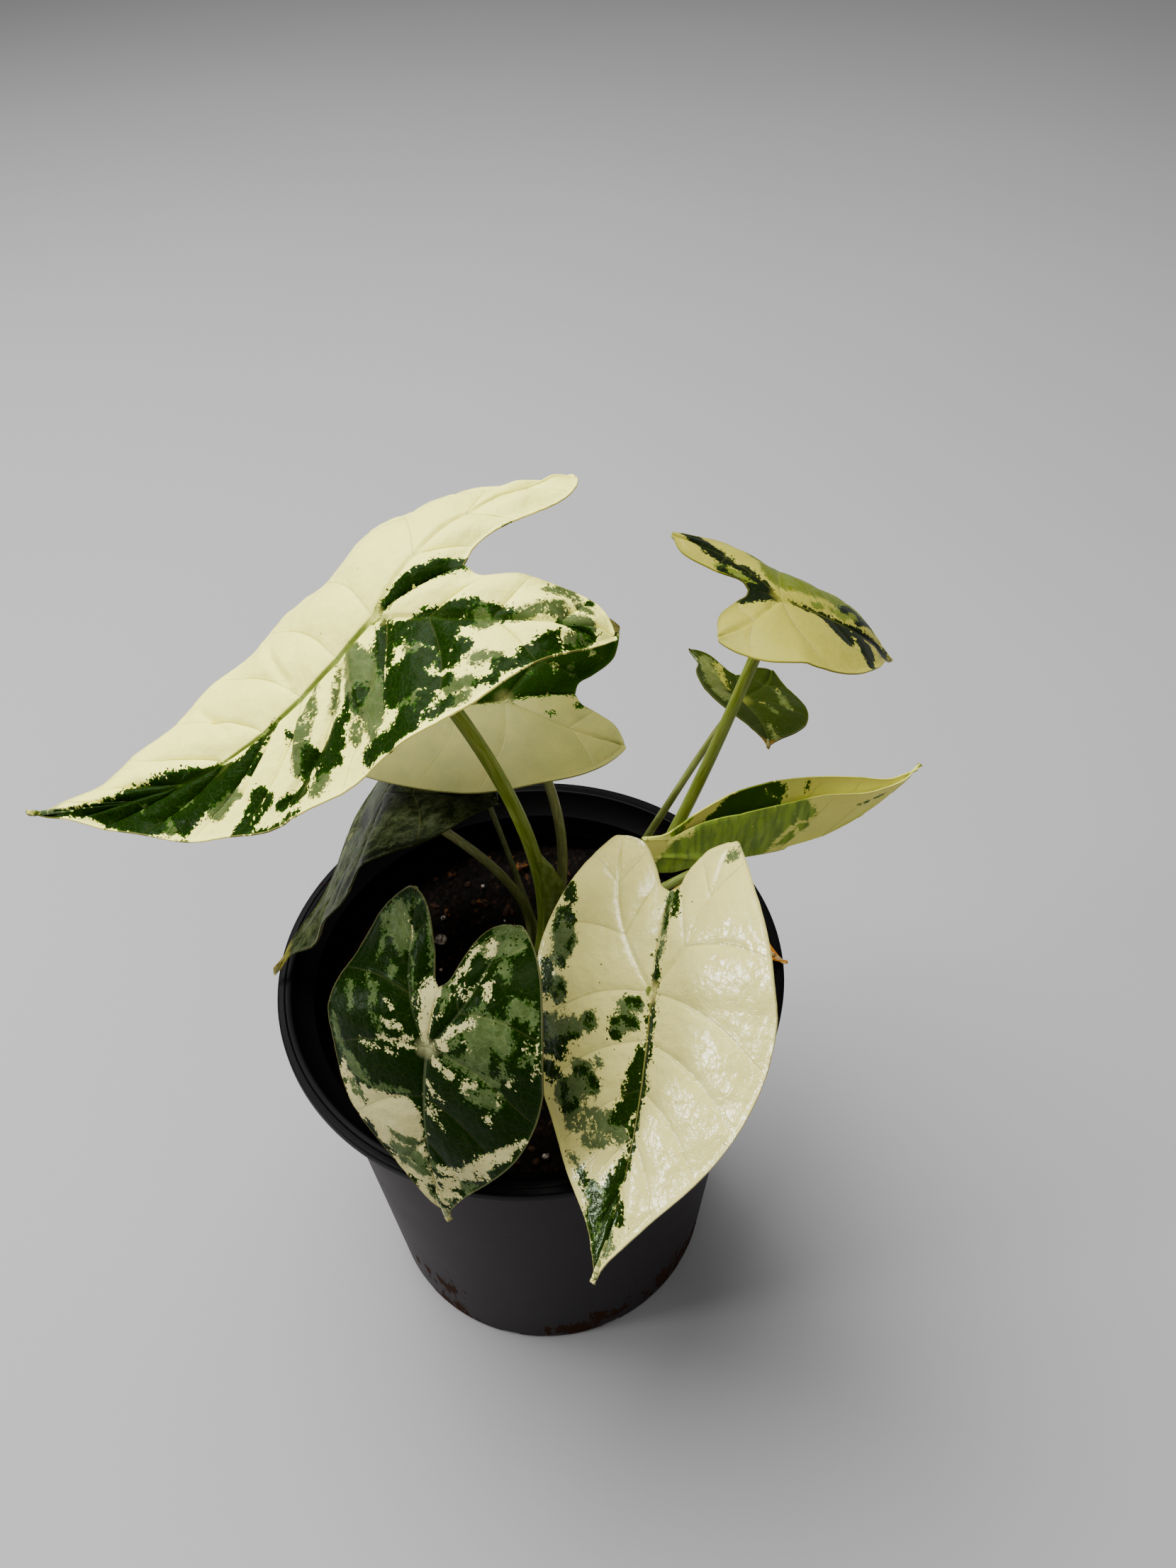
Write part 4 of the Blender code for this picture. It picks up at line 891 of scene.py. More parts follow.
        "cream", "#d2ca78", "#485430", "#284606", "#0a1a00", "#b8ae58", 0.35, (
            ("grey", ((-30, -15, -28, -10, 2.6, 4.0), (-27.5, -7, -29, -5, 3.2, 2.4),
                      (-28, 2, -27.5, 5, 1.9, 1.9), (-30, 14, -22, 12, 3.4, 2.6),
                      (-20, 12, -16, 9.5, 1.8, 1.8), (-21, 29, -15, 25, 3.6, 3.4),
                      (-7, 4.5, -3.5, 3.8, 1.5, 1.6), (-8, 10, -5, 8, 1.9, 1.8),
                      (2, -13, 1.8, -10.5, 0.9, 0.9), (-5, 56, 0, 62, 2.6, 2.4),
                      (-8, 52, -4, 50, 1.4, 1.4))),
            ("faint", ((-17, 35, -9, 33, 3.2, 2.6), (-12, 39, -4, 36, 2.0, 2.4),
                       (-16, 44, -14, 44.5, 1.0, 0.8), (-13, 19, -12, 19.5, 0.8, 0.7),
                       (18, -32, 20, -32, 1.2, 0.9), (-20, 21, -14, 20, 0.8, 0.6),
                       (1.2, -24, 2, -15, 0.7, 0.6))),
            ("dark", ((-29.5, -22, -27.5, -20, 1.8, 1.4), (-28.5, -15.5, -27, -14, 1.4, 1.2),
                      (-31, -12, -31, -16, 1, 0.8), (-25.5, -7, -25, -9, 0.8, 1.0),
                      (-27.5, -3.5, -28.5, -5, 1.0, 0.8), (-33, -2, -32, 4, 1.8, 2.0),
                      (-27, 2.5, -26, 4, 0.8, 0.7), (-29, 5, -28, 6.5, 0.8, 0.8),
                      (-26, 17.5, -24, 16, 1.4, 1.0), (-17, 9, -16, 11, 1.0, 0.7),
                      (-22, 14.5, -20, 14, 0.8, 0.8), (-29, 19, -25, 19, 2.0, 2.0),
                      (-29, 24, -26, 25, 2.0, 1.8), (-20, 32.5, -18, 31, 1.2, 1.0),
                      (-14, 24, -12.5, 26, 1.0, 0.9), (-19, 22.5, -16, 22, 0.9, 0.8),
                      (-22, 27, -21.5, 30, 1.0, 1.0), (-32, 12, -32, 16, 0.9, 1.0),
                      (-5.5, 3, -3, 3.5, 0.8, 0.8), (-9, 11.5, -8, 12, 0.8, 0.6),
                      (-6.5, 7.5, -3.5, 8.5, 0.9, 1.0), (-9.5, 8, -9, 9, 0.6, 0.6),
                      (1.0, -4, 0.9, 12, 0.7, 0.9), (0.9, 12, 0.2, 30, 0.9, 0.8),
                      (0.2, 30, 0.2, 44, 0.7, 0.7), (-0.6, 14, -1.8, 20, 0.6, 2.0),
                      (-1.8, 20, -2.2, 28, 2.0, 2.3), (-2.5, 28, -4.5, 32, 2.3, 2.1),
                      (-5.5, 31, -6, 33, 1.1, 0.9), (-1, 41, -1.5, 46, 0.9, 1.6),
                      (-3, 46, -2, 50, 1.3, 1.7), (-8, 49.5, -5, 53, 1.1, 1.7), (-2, 51, -2, 56, 1.5, 1.7),
                      (-6, 55, -4.5, 60, 1.2, 1.1), (-1, 57, -1.5, 63, 1.6, 1.5),
                      (1, 53, 1.3, 56, 1.1, 1.1), (-12.5, 47, -11, 48.5, 0.9, 0.7),
                      (-2, 62, -1, 68, 1.5, 0.8), (2.8, -25, 4, -19.5, 0.4, 0.5),
                      (0.9, -24, 1.2, -19, 0.25, 0.35), (2, -18.5, 2, -15.5, 0.3, 0.35),
                      (1, -9, 1, -7, 0.35, 0.35), (1.6, -6, 0.9, -3, 0.3, 0.45)))),
        gloss=0.17, shine=0.8, quilt=(0.8, 0.7), lumps=0.16, wave=0.3, spread=0.45, cell=0.7, specks=0.014),
    "rolled": Finish(
        "cream", "#dedc68", "#7c9a14", "#406206", "#284604", "#98a236", 0.4, (
            ("grey", ((-2, -22, -8, -20, 2, 3), (-4, -16, -12, -16, 3.4, 3.4), (-4, -9, -16, -9, 4.2, 3.6),
                      (-4, -2, -18, -2, 4.6, 4.2), (-4, 6, -17, 6, 4.6, 4.2), (-6, 13, -17, 13, 3.6, 3.6),
                      (-16, 18, -12, 20, 2.0, 1.2), (-13, 21.5, -12.5, 22, 0.9, 0.8),
                      (-8.5, 19, -8, 20, 0.8, 0.8))),
            ("cream", ((-4, 12, -9, 16, 1.4, 1.8), (-13, 3.5, -15, 4, 0.7, 0.6),
                       (-12, -24, -20, -18, 3, 3))),
            ("faint", ((17, -17.5, 18, -15.5, 0.8, 0.8), (19.5, -14, 20, -13, 0.5, 0.5),
                       (12, 44, 13, 50, 0.8, 0.8))),
            ("dark", ((16, -5, 17, 0, 1.6, 3.2), (17, 0, 18, 8, 3.6, 4.2), (15, 9, 14, 13, 1.8, 1.2),
                      (20, 12.5, 17.5, 15, 0.9, 1.1), (15.5, 23.5, 17.5, 24, 0.1, -0.1),
                      (-8, 38, -4, 50, -0.5, -0.7), (4, 60, 1, 66, -0.3, -0.4))),
            ("grey", ((16, -1, 18, 1, 0.4, 0.6), (19, 6, 17, 8, 0.6, 0.4), (14, 10, 13, 12, 0.3, 0.2))),
            ("cream", ((17, 11.5, 19.5, 11, 0.7, 0.6),))),
        gloss=0.42, shine=0.14, quilt=(0.3, 0.4), lumps=0.08, wave=0.3, jagged=0.6, spread=1.0, paler=0.08,
        streaks=0.75),
    "high": Finish(
        "cream", "#8e8a32", "#525c10", "#1e2c0a", "#0a1006", "#787a20", 0.35, (
            ("grey", ((10, 2, 18, 14, 6.5, 7.5), (8, 18, 12, 26, 6, 6), (5, 10, 9, 14, 3.4, 4),
                      (14, 0, 18, -8, 2, 2.5), (10, 30, 8, 36, 4, 3), (6, -14, 1.5, -6, 1.6, 1.2))),
            ("cream", ((5, 12, 6, 17, 1.2, 1.0), (3, 3, 4, 9, 1.2, 1.0), (12, -8, 18, -10, 2.6, 2.6),
                       (7, 20, 9, 22, 0.8, 0.6))),
            ("grey", ((1.5, -8, 5, -13, 1.2, 1.5),)),
            ("dark", ((-2.2, -11, -1.5, -6, 2.6, 2.4), (-1.0, -7, -0.4, -1, 2.4, 1.4),
                      (1, -10.5, 1.2, -3, 1.0, 1.0), (-0.4, 3, -0.8, 6, 0.9, 1.2),
                      (-0.8, 6, -0.6, 10, 1.2, 1.2), (-1, 11, -4, 15, 1.6, 2.6),
                      (-3, 14, -8.5, 16.5, 2.8, 2.2), (-3, 18, -7, 18.5, 2.2, 1.2),
                      (-0.6, 11, -0.9, 22, 1.2, 1.6), (-1, 22, -7, 23, 2.2, 2.0),
                      (-7, 22.8, -15.5, 22.4, 2.0, 1.4), (-6, 25, -11, 25, 1.4, 0.8),
                      (-1, 24, -1, 33, 2.4, 2.2), (-2.8, 33, -4, 39, 2.4, 1.8),
                      (-0.6, 33, -0.5, 40, 1.0, 0.6), (19, -21.5, 13, -17, 2.0, 2.4),
                      (13, -17, 9.5, -13, 2.4, 2.0), (19.5, -19, 16, -17, 0.9, 1.2),
                      (9.5, -13, 3, -3.5, 0.9, 1.1), (8, -9, 4, -4.5, 0.8, 1.0),
                      (6, -14.5, 1.2, -9, 0.6, 0.8), (5.5, -9, 2.5, -5, 0.5, 0.8), (6, 20, 9, 23, 1.5, 1.8),
                      (9, 23, 8, 28, 1.6, 1.2), (3, 24, 6, 30, 0.9, 0.8), (12, 30, 12.5, 34, 0.8, 0.8))),
            ("mid", ((5, 26, 8, 32, 1.4, 1.6),))),
        gloss=0.42, shine=0.12, quilt=(0.5, 0.4), lumps=0.10, wave=0.3, jagged=0.6, spread=0.2),
    "small": Finish(
        "dark", "#747426", "#48501e", "#303e0c", "#202a06", "#444c1a", 0.4, (
            ("grey", ((-9, -14, -8, 4, 2.6, 3.2), (2, 13, 3, 19, 1.0, 0.8), (12, -6, 13, 2, 1.0, 1.0))),
            ("cream", ((-5.5, -13, -4.5, -2, 1.6, 1.0), (12, -8, 13, -5, 0.6, 0.5), (5, 2, 7, 6, 0.4, 0.4),
                       (3, 15, 3, 18, 0.4, 0.4))),
            ("faint", ((5, 4, 7, 9, 1.0, 0.8), (10, 3, 9, 8, 0.7, 0.6))),
            ("dark", ((8, -14, 9, -10, 2.2, 2.2), (6, -4, 9, -2, 2.0, 2.4),
                      (-1, -12, -0.6, 0, 1.0, 0.7)))),
        gloss=0.42, shine=0.1, quilt=(0.3, 0.3), lumps=0.08, wave=0.2, tip=("#7a5a1e", 4.0)),
    "old": Finish(
        "cream", "#9a8a20", "#7a7a1c", "#5c6414", "#3a4410", "#a09030", 0.5, (
            ("grey", ((-4, -4, -5, 10, 2.6, 2.2), (5, 2, 4, 12, 1.8, 1.6))),),
        gloss=0.5, quilt=(0.3, 0.3), tip=("#b86c16", 13.0)),
    "rear": Finish(
        "dark", "#a0a060", "#454e2e", "#26380f", "#121e06", "#5c6436", 0.4, (
            ("grey", ((4, 4, 7, 8, 2, 1.6), (-5, -6, -6, 0, 1.6, 2))),
            ("cream", ((-5, 6, -6, 10, 0.8, 0.6), (6, -4, 7, 0, 0.6, 0.6)))),
        gloss=0.42, quilt=(0.3, 0.3)),
}


def smooth_through(points, steps_per_span):
    """Even steps along the smooth curve through a few points."""
    pts = np.array(points, float)
    pts = np.vstack([2 * pts[0] - pts[1], pts, 2 * pts[-1] - pts[-2]])
    spans = len(pts) - 3
    found = []
    for step in range(spans * steps_per_span + 1):
        i = min(step // steps_per_span, spans - 1)
        t = step / steps_per_span - i
        a, b, c, d = pts[i:i + 4]
        found.append(0.5 * (2 * b + (c - a) * t + (2 * a - 5 * b + 4 * c - d) * t ** 2
                            + (3 * b - a - 3 * c + d) * t ** 3))
    return np.array(found)


def outline(leaf, side, steps_per_span=60):
    """Flat margin of one half: tip to lobe tip, and lobe tip back to the notch."""
    half, lobe, spread = leaf.half[side], leaf.lobe[side], leaf.spread[side]
    outer = [(leaf.length * x, half * y) for x, y in FRONT_OUTLINE]
    outer += [(lobe * x, half * y + spread * z) for x, y, z in BACK_OUTLINE]
    inner = [(-leaf.notch - (lobe - leaf.notch) * x, spread * y) for x, y in NOTCH_OUTLINE]
    curve = smooth_through(outer + inner[1:], steps_per_span)
    lobe_tip = (len(outer) - 1) * steps_per_span
    return curve[:lobe_tip + 1], curve[lobe_tip:]


def on_curve(curve, share):
    """Points at shares of a curve's steps."""
    at = share * (len(curve) - 1)
    return np.column_stack([np.interp(at, np.arange(len(curve)), curve[:, k]) for k in (0, 1)])


def panel(leaf, side, part, rows, steps):
    """One flat panel of a blade between a rib and the margin, as a grid with its vein layout stored."""
    bpy.ops.object.select_all(action="DESELECT")
    bpy.ops.mesh.primitive_grid_add(x_subdivisions=steps, y_subdivisions=rows, size=2)
    piece = bpy.context.object
    unit = np.array([v.co for v in piece.data.vertices])
    s, t = (unit[:, 0] + 1) / 2, (unit[:, 1] + 1) / 2
    outer, inner = outline(leaf, side)
    front_veins = round(leaf.length / VEIN_SPACING)
    back_veins = max(2, round(leaf.lobe[side] / VEIN_SPACING))
    if part == "front":
        rib = np.column_stack([leaf.length * (1 - t), 0 * t])
        margin = on_curve(outer, JOINT_ON_MARGIN * t)
        vein = front_veins * (1 - t)
        pitch = leaf.length / front_veins + 0 * t
    else:
        arch = RIB_ARCH * leaf.half[side] * np.sin(math.pi * t)
        rib = np.column_stack([-leaf.lobe[side] * t, leaf.spread[side] * t + arch])
        margin = on_curve(outer, JOINT_ON_MARGIN + (1 - JOINT_ON_MARGIN) * t)
        if part == "inner":
            margin = on_curve(inner, 1 - t)
        vein = -back_veins * t
        pitch = leaf.lobe[side] / back_veins + 0 * t
    run = margin - rib
    reach = np.hypot(run[:, 0], run[:, 1])
    flat = rib + run * s[:, None]
    if part != "inner":
        flat[:, 0] -= VEIN_BOW * reach * np.sin(math.pi * s) * (1 - t if part == "back" else 1)
    co = np.column_stack([flat[:, 0], flat[:, 1] * (-1 if side else 1), 0 * s]) * MM
    piece.data.vertices.foreach_set("co", co.ravel())
    for name, values in (("vein", (s, vein, pitch)), ("reach", (s * reach, (1 - s) * reach, 0 * s))):
        stored = piece.data.attributes.new(name, "FLOAT_VECTOR", "POINT")
        stored.data.foreach_set("vector", np.column_stack(values).ravel())
    if bool(side) != (part == "inner"):
        piece.data.flip_normals()
    return piece


def read_vectors(mesh, name):
    """A vector attribute of a mesh's points, as rows."""
    values = np.zeros(len(mesh.vertices) * 3)
    mesh.attributes[name].data.foreach_get("vector", values)
    return values.reshape(-1, 3)


def stroke_depth(x, y, stroke):
    """How deep inside a stroke each point is, in mm, negative outside."""
    y0, x0, y1, x1, w0, w1 = stroke
    run_x, run_y = x1 - x0, y1 - y0
    share = np.clip(((x - x0) * run_x + (y - y0) * run_y) / (run_x ** 2 + run_y ** 2), 0, 1)
    away = np.hypot(x - x0 - run_x * share, y - y0 - run_y * share)
    return w0 + (w1 - w0) * share - away


def paint(finish, x, y):
    """Depth fields of the markings at points of the flat blade: dark green, and grey-green."""
    fields = {"dark": np.full(len(x), NOWHERE), "grey": np.full(len(x), NOWHERE)}
    if finish.ground != "cream":
        fields[finish.ground] = np.full(len(x), EVERYWHERE)
    for colour, strokes in finish.marks:
        for stroke in strokes:
            depth = stroke_depth(x, y, stroke)
            if colour == "faint":
                fields["grey"] = np.maximum(fields["grey"], np.minimum(depth, FAINT_DEPTH))
            elif colour == "mid":
                fields["dark"] = np.maximum(fields["dark"], np.minimum(depth, MID_DEPTH))
            else:
                for other in fields:
                    if other == colour:
                        fields[other] = np.maximum(fields[other], depth)
                    elif other == "dark" or colour == "cream":
                        fields[other] = np.minimum(fields[other], -depth)
    return fields["dark"], fields["grey"]


def midrib(leaf, side):
    """Arc of the midrib's line in its own plane: x, rise and slope at even steps."""
    reach = max(leaf.lobe)
    x = np.linspace(-1.3 * reach, 1.05 * leaf.length, 400)
    ahead = np.clip(x / leaf.length, 0, None)
    near = np.clip(-x / leaf.notch, 0, 1)
    behind = np.clip((-x - leaf.notch) / (reach - leaf.notch), 0, None)
    slope = np.radians(leaf.bend[0] * ahead + leaf.bend[1] * ahead ** 2
                       - leaf.lift[0] * near - leaf.lift[1 + side] * behind)
    step = np.diff(x)
    run = np.concatenate([[0], np.cumsum((np.cos(slope[1:]) + np.cos(slope[:-1])) / 2 * step)])
    rise = np.concatenate([[0], np.cumsum((np.sin(slope[1:]) + np.sin(slope[:-1])) / 2 * step)])
    return x, run - np.interp(0, x, run), rise - np.interp(0, x, rise), slope


def carried(leaf, x, y):
    """Points of the flat blade carried to its place: folded, curled, drooping and turned, in mm."""
    left = y > 0
    out = np.abs(y)
    run, rise, slope = (np.empty(len(x)) for _ in range(3))
    for side, mask in ((0, left), (1, ~left)):
        xs, *lines = midrib(leaf, side)
        for values, line in zip((run, rise, slope), lines):
            values[mask] = np.interp(x[mask], xs, line)

    def by_side(pair):
        return np.where(left, pair[0], pair[1])

    ahead = np.maximum(0, x / leaf.length)
    edge = np.minimum(1, out / by_side(leaf.half))
    shift = leaf.sway * ahead ** 2 + leaf.bow * np.sin(math.pi * np.minimum(1, ahead)) * (1 - 0.8 * edge)
    behind = np.clip(-x / by_side(leaf.lobe), 0, 1)
    start = np.radians(by_side(leaf.fold) + by_side(leaf.lobe_fold) * behind)
    turn_per_mm = np.radians(by_side(leaf.curl)) / by_side(leaf.half)
    turns = [start + turn_per_mm * out * (i + 0.5) / CURL_STEPS for i in range(CURL_STEPS)]
    sideways = out * sum(np.cos(a) for a in turns) / CURL_STEPS
    height = out * sum(np.sin(a) for a in turns) / CURL_STEPS
    local = np.column_stack([run - np.sin(slope) * height, np.where(left, sideways, -sideways) + shift,
                             rise + np.cos(slope) * height])
    return np.array(leaf.joint) + local @ np.array([tuple(axis) for axis in leaf_axes(leaf)])


def relief(leaf, finish, x, y, vein, reach):
    """Height of a blade's fine form in mm: veins sunk, the skin between them puffed, the edge waved."""
    s, row, pitch = vein.T
    inward, outward = reach[:, 0], reach[:, 1]
    off_vein = np.abs(row - np.round(row)) * pitch
    between = np.abs(np.sin(math.pi * row))
    puff = np.where(y > 0, finish.quilt[0], finish.quilt[1]) * between ** 0.8
    found = puff * np.sin(math.pi * np.clip(s * 1.02, 0, 1)) ** 0.8 * np.clip(outward / 6, 0, 1)
    found -= VEIN_SINK * np.exp(-(off_vein / VEIN_HALF) ** 2) * np.clip(inward / 3, 0, 1) * (1 - 0.6 * s)
    found -= RIB_SINK * np.exp(-(inward / RIB_HALF) ** 2) * np.clip(1 - x / leaf.length, 0, 1)
    found += BEAD_RISE * np.exp(-(outward / BEAD_HALF) ** 2)
    found -= BEAD_SINK * np.exp(-((outward - BEAD_IN) / BEAD_HALF) ** 2)
    found += finish.wave * np.sin(row * 2.2 + 3 * s + 0.11 * x) * np.exp(-(outward / 5) ** 2)
    lumps = np.array([noise.noise((a / 3.4, b / 3.4, 1.0)) + 0.6 * noise.noise((a / 1.7, b / 1.7, 5.0))
                      for a, b in zip(x, y)])
    found += finish.lumps * lumps * np.clip(inward / 2, 0, 1)
    for *stroke, height in finish.creases:
        found += height * np.clip(stroke_depth(x, y, stroke) / max(stroke[4:]), 0, 1) ** 1.5
    return found


def blade(name, leaf, finish):
    """One blade: flat panels joined along the ribs, carried to their place, given relief and thickness."""
    widest, deepest = max(leaf.half), max(leaf.lobe)
    rows = {"front": round(leaf.length / finish.cell), "back": round(1.1 * deepest / finish.cell)}
    rows["inner"] = rows["back"]
    steps = {"front": round(widest / finish.cell), "inner": round(0.5 * widest / finish.cell)}
    steps["back"] = steps["front"]
    parts = [panel(leaf, side, part, rows[part], steps[part])
             for side in (0, 1) for part in ("front", "back", "inner")]
    bpy.ops.object.select_all(action="DESELECT")
    for part in parts:
        part.select_set(True)
    piece = parts[0]
    bpy.context.view_layer.objects.active = piece
    bpy.ops.object.join()
    piece.name = f"blade_of_{name}_leaf"
    bpy.ops.object.mode_set(mode="EDIT")
    bpy.ops.mesh.select_all(action="SELECT")
    bpy.ops.mesh.remove_doubles(threshold=0.01 * MM)
    bpy.ops.object.mode_set(mode="OBJECT")
    mesh = piece.data
    flat = np.array([v.co for v in mesh.vertices]) / MM
    x, y = flat[:, 0], flat[:, 1]
    vein, reach = read_vectors(mesh, "vein"), read_vectors(mesh, "reach")
    dark, grey = paint(finish, x, y)
    for attribute, values in (("flat", (x, y, 0 * x)), ("marks", (dark, grey, reach[:, 1]))):
        stored = mesh.attributes.new(attribute, "FLOAT_VECTOR", "POINT")
        stored.data.foreach_set("vector", np.column_stack(values).ravel())
    mesh.vertices.foreach_set("co", (carried(leaf, x, y) * MM).ravel())
    mesh.update()
    normals = np.array([n.vector for n in mesh.vertex_normals])
    rise = TOP_RISE + relief(leaf, finish, x, y, vein, reach)
    raised = carried(leaf, x, y) + normals * rise[:, None]
    mesh.vertices.foreach_set("co", (raised * MM).ravel())
    ribs = piece.vertex_groups.new(name="ribs")
    side_vein = np.exp(-(np.abs(vein[:, 1] - np.round(vein[:, 1])) * vein[:, 2] / VEIN_HALF) ** 2)
    weight = np.maximum(np.exp(-(reach[:, 0] / 1.1) ** 2), 0.35 * side_vein * (1 - vein[:, 0]))
    weight *= np.clip(1.1 - 0.8 * np.abs(x) / np.where(x > 0, leaf.length, deepest), 0.1, 1)
    for i, value in enumerate(weight):
        if value > 0.02:
            ribs.add([i], float(value), "REPLACE")
    shell = piece.modifiers.new("shell", "SOLIDIFY")
    shell.thickness = RIB_THICK * MM
    shell.offset = -1
    shell.vertex_group = "ribs"
    shell.thickness_vertex_group = THIN / RIB_THICK
    shell.material_offset = 1
    mesh.materials.clear()
    mesh.materials.append(blade_surface(f"{name}_blade_top", leaf, finish, under=False))
    mesh.materials.append(blade_surface(f"{name}_blade_underside", leaf, finish, under=True))
    bpy.ops.object.modifier_apply(modifier="shell")
    bpy.ops.object.shade_smooth_by_angle(angle=math.radians(60))
    return piece


def blade_surface(name, leaf, finish, under):
    """Skin of a blade: waxy and marbled on top, paler and duller beneath.

    The markings' depth fields are roughened by a mosaic of small blocks, as where one line of green
    or white cells ends against another, so their edges are stepped and break up into flecks."""
    mat, tree, shader = new_surface(name, IOR=1.42, Specular_IOR_Level=0.1 if under else finish.shine,
                                    Subsurface_Weight=0.1, Subsurface_Scale=0.0015)
    node = partial(add, tree)
    flat, *stored = (node("Attribute", attribute_name=kept).outputs["Vector"]
                     for kept in ("flat", "marks", "vein", "reach"))
    marks, veins, reach = (node("SeparateXYZ", (vector,)).outputs for vector in stored)
    ahead = node("SeparateXYZ", (flat,)).outputs["X"]
    wander = node("TexNoise", {"Vector": flat, "Scale": 0.9, "Detail": 2.0})
    bent = node("VectorMath", (wander.outputs["Color"], (1.3, 1.3, 0.0), flat), operation="MULTIPLY_ADD")
    mosaic = (node("TexVoronoi", {"Vector": bent, "Scale": 0.75}),
              node("TexVoronoi", {"Vector": bent, "Scale": 2.2}),
              node("TexNoise", {"Vector": flat, "Scale": 0.22, "Detail": 5.0, "Roughness": 0.62}))
    block, fleck, drift = (node("SeparateXYZ", (made.outputs["Color"],)).outputs for made in mosaic)

    # One ragged shift moves the edges of the dark and the grey together, so that no gap opens between
    moved = 0.0
    for field, operation, by, weight in (
            (drift["X"], "SUBTRACT", 0.5, 3.2), (block["X"], "SUBTRACT", 0.5, 1.1),
            (fleck["Y"], "SUBTRACT", 0.5, 0.7), (fleck["X"], "POWER", 12.0, 1.6),
            (fleck["Z"], "POWER", 14.0, -1.6)):
        ragged = node("Math", (field, by), operation=operation)
        moved = node("Math", (ragged, weight * finish.jagged, moved), operation="MULTIPLY_ADD")
    dark_depth = node("Math", (marks["X"], finish.spread), operation="ADD")
    dark_depth = node("Math", (dark_depth, moved), operation="ADD")
    grey_depth = node("Math", (marks["Y"], finish.spread), operation="ADD")
    grey_depth = node("Math", (grey_depth, moved), operation="SUBTRACT")
    dark_share = node("MapRange", (dark_depth, -0.05, 0.05))
    well_inside = node("MapRange", (grey_depth, 0.4, 0.5, 0.5, 1.0))
    by_the_dark = node("MapRange", (marks["X"], -2.0, -1.2))
    fringe = node("Math", (well_inside, by_the_dark), operation="MAXIMUM")
    grey_share = node("MapRange", (grey_depth, -0.06, 0.06))
    grey_share = node("Math", (grey_share, fringe), operation="MULTIPLY")

    # Each colour of the marbling is a little uneven, and the grey also has streaks along the veins
    tone = node("TexNoise", {"Vector": flat, "Scale": 0.12, "Detail": 4.0})
    fine = node("TexNoise", {"Vector": flat, "Scale": 1.6, "Detail": 3.0})
    pale = node("TexNoise", {"Vector": bent, "Scale": 0.3, "Detail": 5.0, "Roughness": 0.7})
    along_veins = node("Mapping", {"Vector": bent, "Scale": (0.5, 0.09, 1.0)})
    streak = node("TexNoise", {"Vector": along_veins, "Scale": 1.0, "Detail": 4.0})
    buff = node("MixRGB", (0.16, finish.cream, "#b9ab52"))
    cream = node("MixRGB", (node("MapRange", (tone, 0.35, 0.7)), finish.cream, buff))
    paler_grey = node("MixRGB", (0.14, finish.grey, "#8a9866"))
    grey = node("MixRGB", (node("MapRange", (pale, 0.42, 0.62)), finish.grey, paler_grey))
    grey = node("MixRGB", (node("MapRange", (streak, 0.42, 0.62, 0.0, finish.streaks)), grey, finish.mid))
    softer = node("MixRGB", (0.25, finish.dark, finish.mid))
    deep = node("MixRGB", (node("MapRange", (fine, 0.3, 0.75)), finish.dark, softer))
    dark = node("MixRGB", (node("MapRange", (dark_depth, 0.12, 0.5)), finish.mid, deep))
    skin = node("MixRGB", (dark_share, node("MixRGB", (grey_share, cream, grey)), dark))

    # Pale side veins that thin out towards the edge, and a faint net between them
    off_vein = node("Math", (veins["Y"], 0.5), operation="PINGPONG")
    off_vein = node("Math", (off_vein, veins["Z"]), operation="MULTIPLY")
    slim = node("MapRange", (veins["X"], 0.0, 1.0, 0.34, 0.14))
    side_vein = node("Math", (off_vein, slim), operation="DIVIDE")
    side_vein = node("MapRange", (side_vein, 0.5, 1.2, 1.0, 0.0))
    side_vein = node("Math", (side_vein, node("MapRange", (reach["Y"], 0.5, 2.0))), operation="MULTIPLY")
    net = node("TexVoronoi", {"Vector": bent, "Scale": 0.33}, feature="DISTANCE_TO_EDGE")
    net_line = node("MapRange", (net, 0.0, 0.05, 1.0, 0.0))
    off_dark = node("MapRange", (dark_share, 0.0, 1.0, 0.34, 0.04))
    off_grey = node("MapRange", (grey_share, 0.0, 1.0, 1.0, 0.25))
    shown = node("Math", (side_vein, off_dark), operation="MULTIPLY")
    shown = node("Math", (shown, off_grey), operation="MULTIPLY")
    skin = node("MixRGB", (shown, skin, VEIN_TONE))
    off_dark = node("MapRange", (dark_share, 0.0, 1.0, 0.07, 0.015))
    skin = node("MixRGB", (node("Math", (net_line, off_dark), operation="MULTIPLY"), skin, VEIN_TONE))

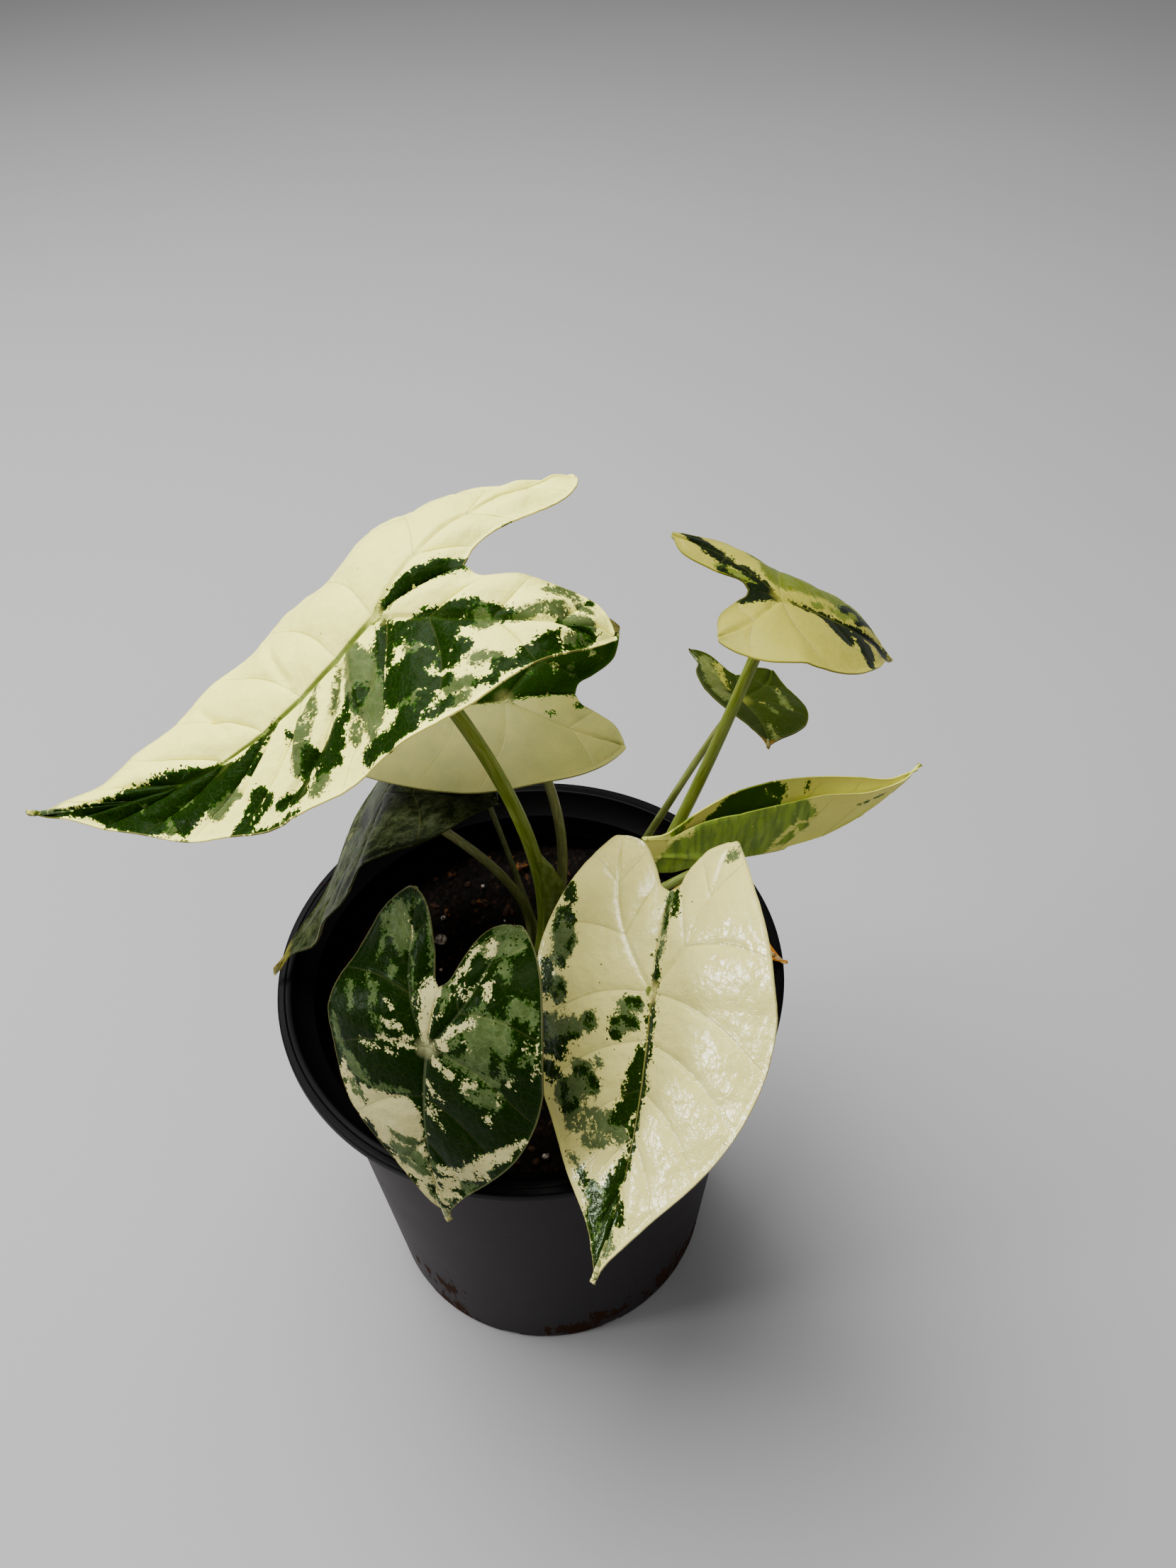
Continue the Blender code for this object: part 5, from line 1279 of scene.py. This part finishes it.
    # The ribs, the pale heart where they meet, the margin, and brown specks and a dried tip on some
    shown = node("MapRange", (reach["X"], finish.rib_width * 0.6, finish.rib_width, 1.0, 0.0))
    off_dark = node("MapRange", (dark_depth, -0.05, 0.05, 0.9, 0.3))
    shown = node("Math", (shown, off_dark), operation="MULTIPLY")
    off_lobes = node("MapRange", (ahead, -4.0, 0.0, 0.3, 1.0))
    shown = node("Math", (shown, off_lobes), operation="MULTIPLY")
    skin = node("MixRGB", (shown, skin, finish.rib))
    heart = node("VectorMath", (flat,), operation="LENGTH").outputs["Value"]
    heart_tone = node("MixRGB", (0.4, finish.cream, finish.rib))
    skin = node("MixRGB", (node("MapRange", (heart, 1.0, 3.6, 0.6, 0.0)), skin, heart_tone))
    edge_tone = node("MixRGB", (0.65, finish.cream, finish.grey))
    skin = node("MixRGB", (node("MapRange", (reach["Y"], 0.1, 0.4, 0.35, 0.0)), skin, edge_tone))
    if finish.specks:
        dots = node("TexVoronoi", {"Vector": flat, "Scale": 0.45})
        rare = 1 - 6 * finish.specks
        chosen = node("MapRange", (node("SeparateXYZ", (dots.outputs["Color"],)), rare, rare + 0.01))
        dot = node("Math", (node("MapRange", (dots, 0.06, 0.13, 1.0, 0.0)), chosen), operation="MULTIPLY")
        skin = node("MixRGB", (dot, skin, "#2c2116"))
    dry_colour, dry_length = finish.tip
    if dry_length:
        dried = node("MapRange", (ahead, leaf.length - dry_length, leaf.length - dry_length * 0.4))
        patchy = node("MapRange", (fine, 0.2, 0.6, 0.6, 1.0))
        skin = node("MixRGB", (node("Math", (dried, patchy), operation="MULTIPLY"), skin, dry_colour))
    if under:
        skin = node("MixRGB", (finish.paler, skin, node("MixRGB", (dark_share, "#c6c896", "#6f8058"))))
    tree.links.new(skin.outputs["Color"], shader.inputs["Base Color"])
    green_share = node("Math", (dark_share, grey_share), operation="MAXIMUM")
    tint = node("MixRGB", (green_share, "#ffffff", "#94a682"))
    tree.links.new(tint.outputs["Color"], shader.inputs["Specular Tint"])

    # Waxy on top and duller beneath, where the veins stand out instead of lying in grooves
    smooth, rough = (0.5, 0.62) if under else (finish.gloss - 0.05, finish.gloss + 0.08)
    wax = node("MapRange", (fine, 0.3, 0.7, smooth, rough))
    tree.links.new(wax.outputs["Result"], shader.inputs["Roughness"])
    raised = 1 if under else -1
    lumps = node("TexNoise", {"Vector": flat, "Scale": 0.5, "Detail": 2.0, "Roughness": 0.45})
    cells = node("TexNoise", {"Vector": flat, "Scale": 4.5, "Detail": 2.0})
    form = node("Math", (lumps, 1.1 * finish.lumps + 0.04), operation="MULTIPLY")
    for field, depth in ((cells, 0.018), (net_line, 0.03 * raised), (side_vein, 0.06 * raised)):
        form = node("Math", (field, depth, form), operation="MULTIPLY_ADD")
    bump = node("Bump", {"Height": form, "Strength": 1.0, "Distance": MM})
    tree.links.new(bump.outputs["Normal"], shader.inputs["Normal"])
    return mat


for name, leaf in LEAVES.items():
    piece = blade(name, leaf, FINISHES[name])
    dress(piece, None)
    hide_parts(f"blade_{name}")
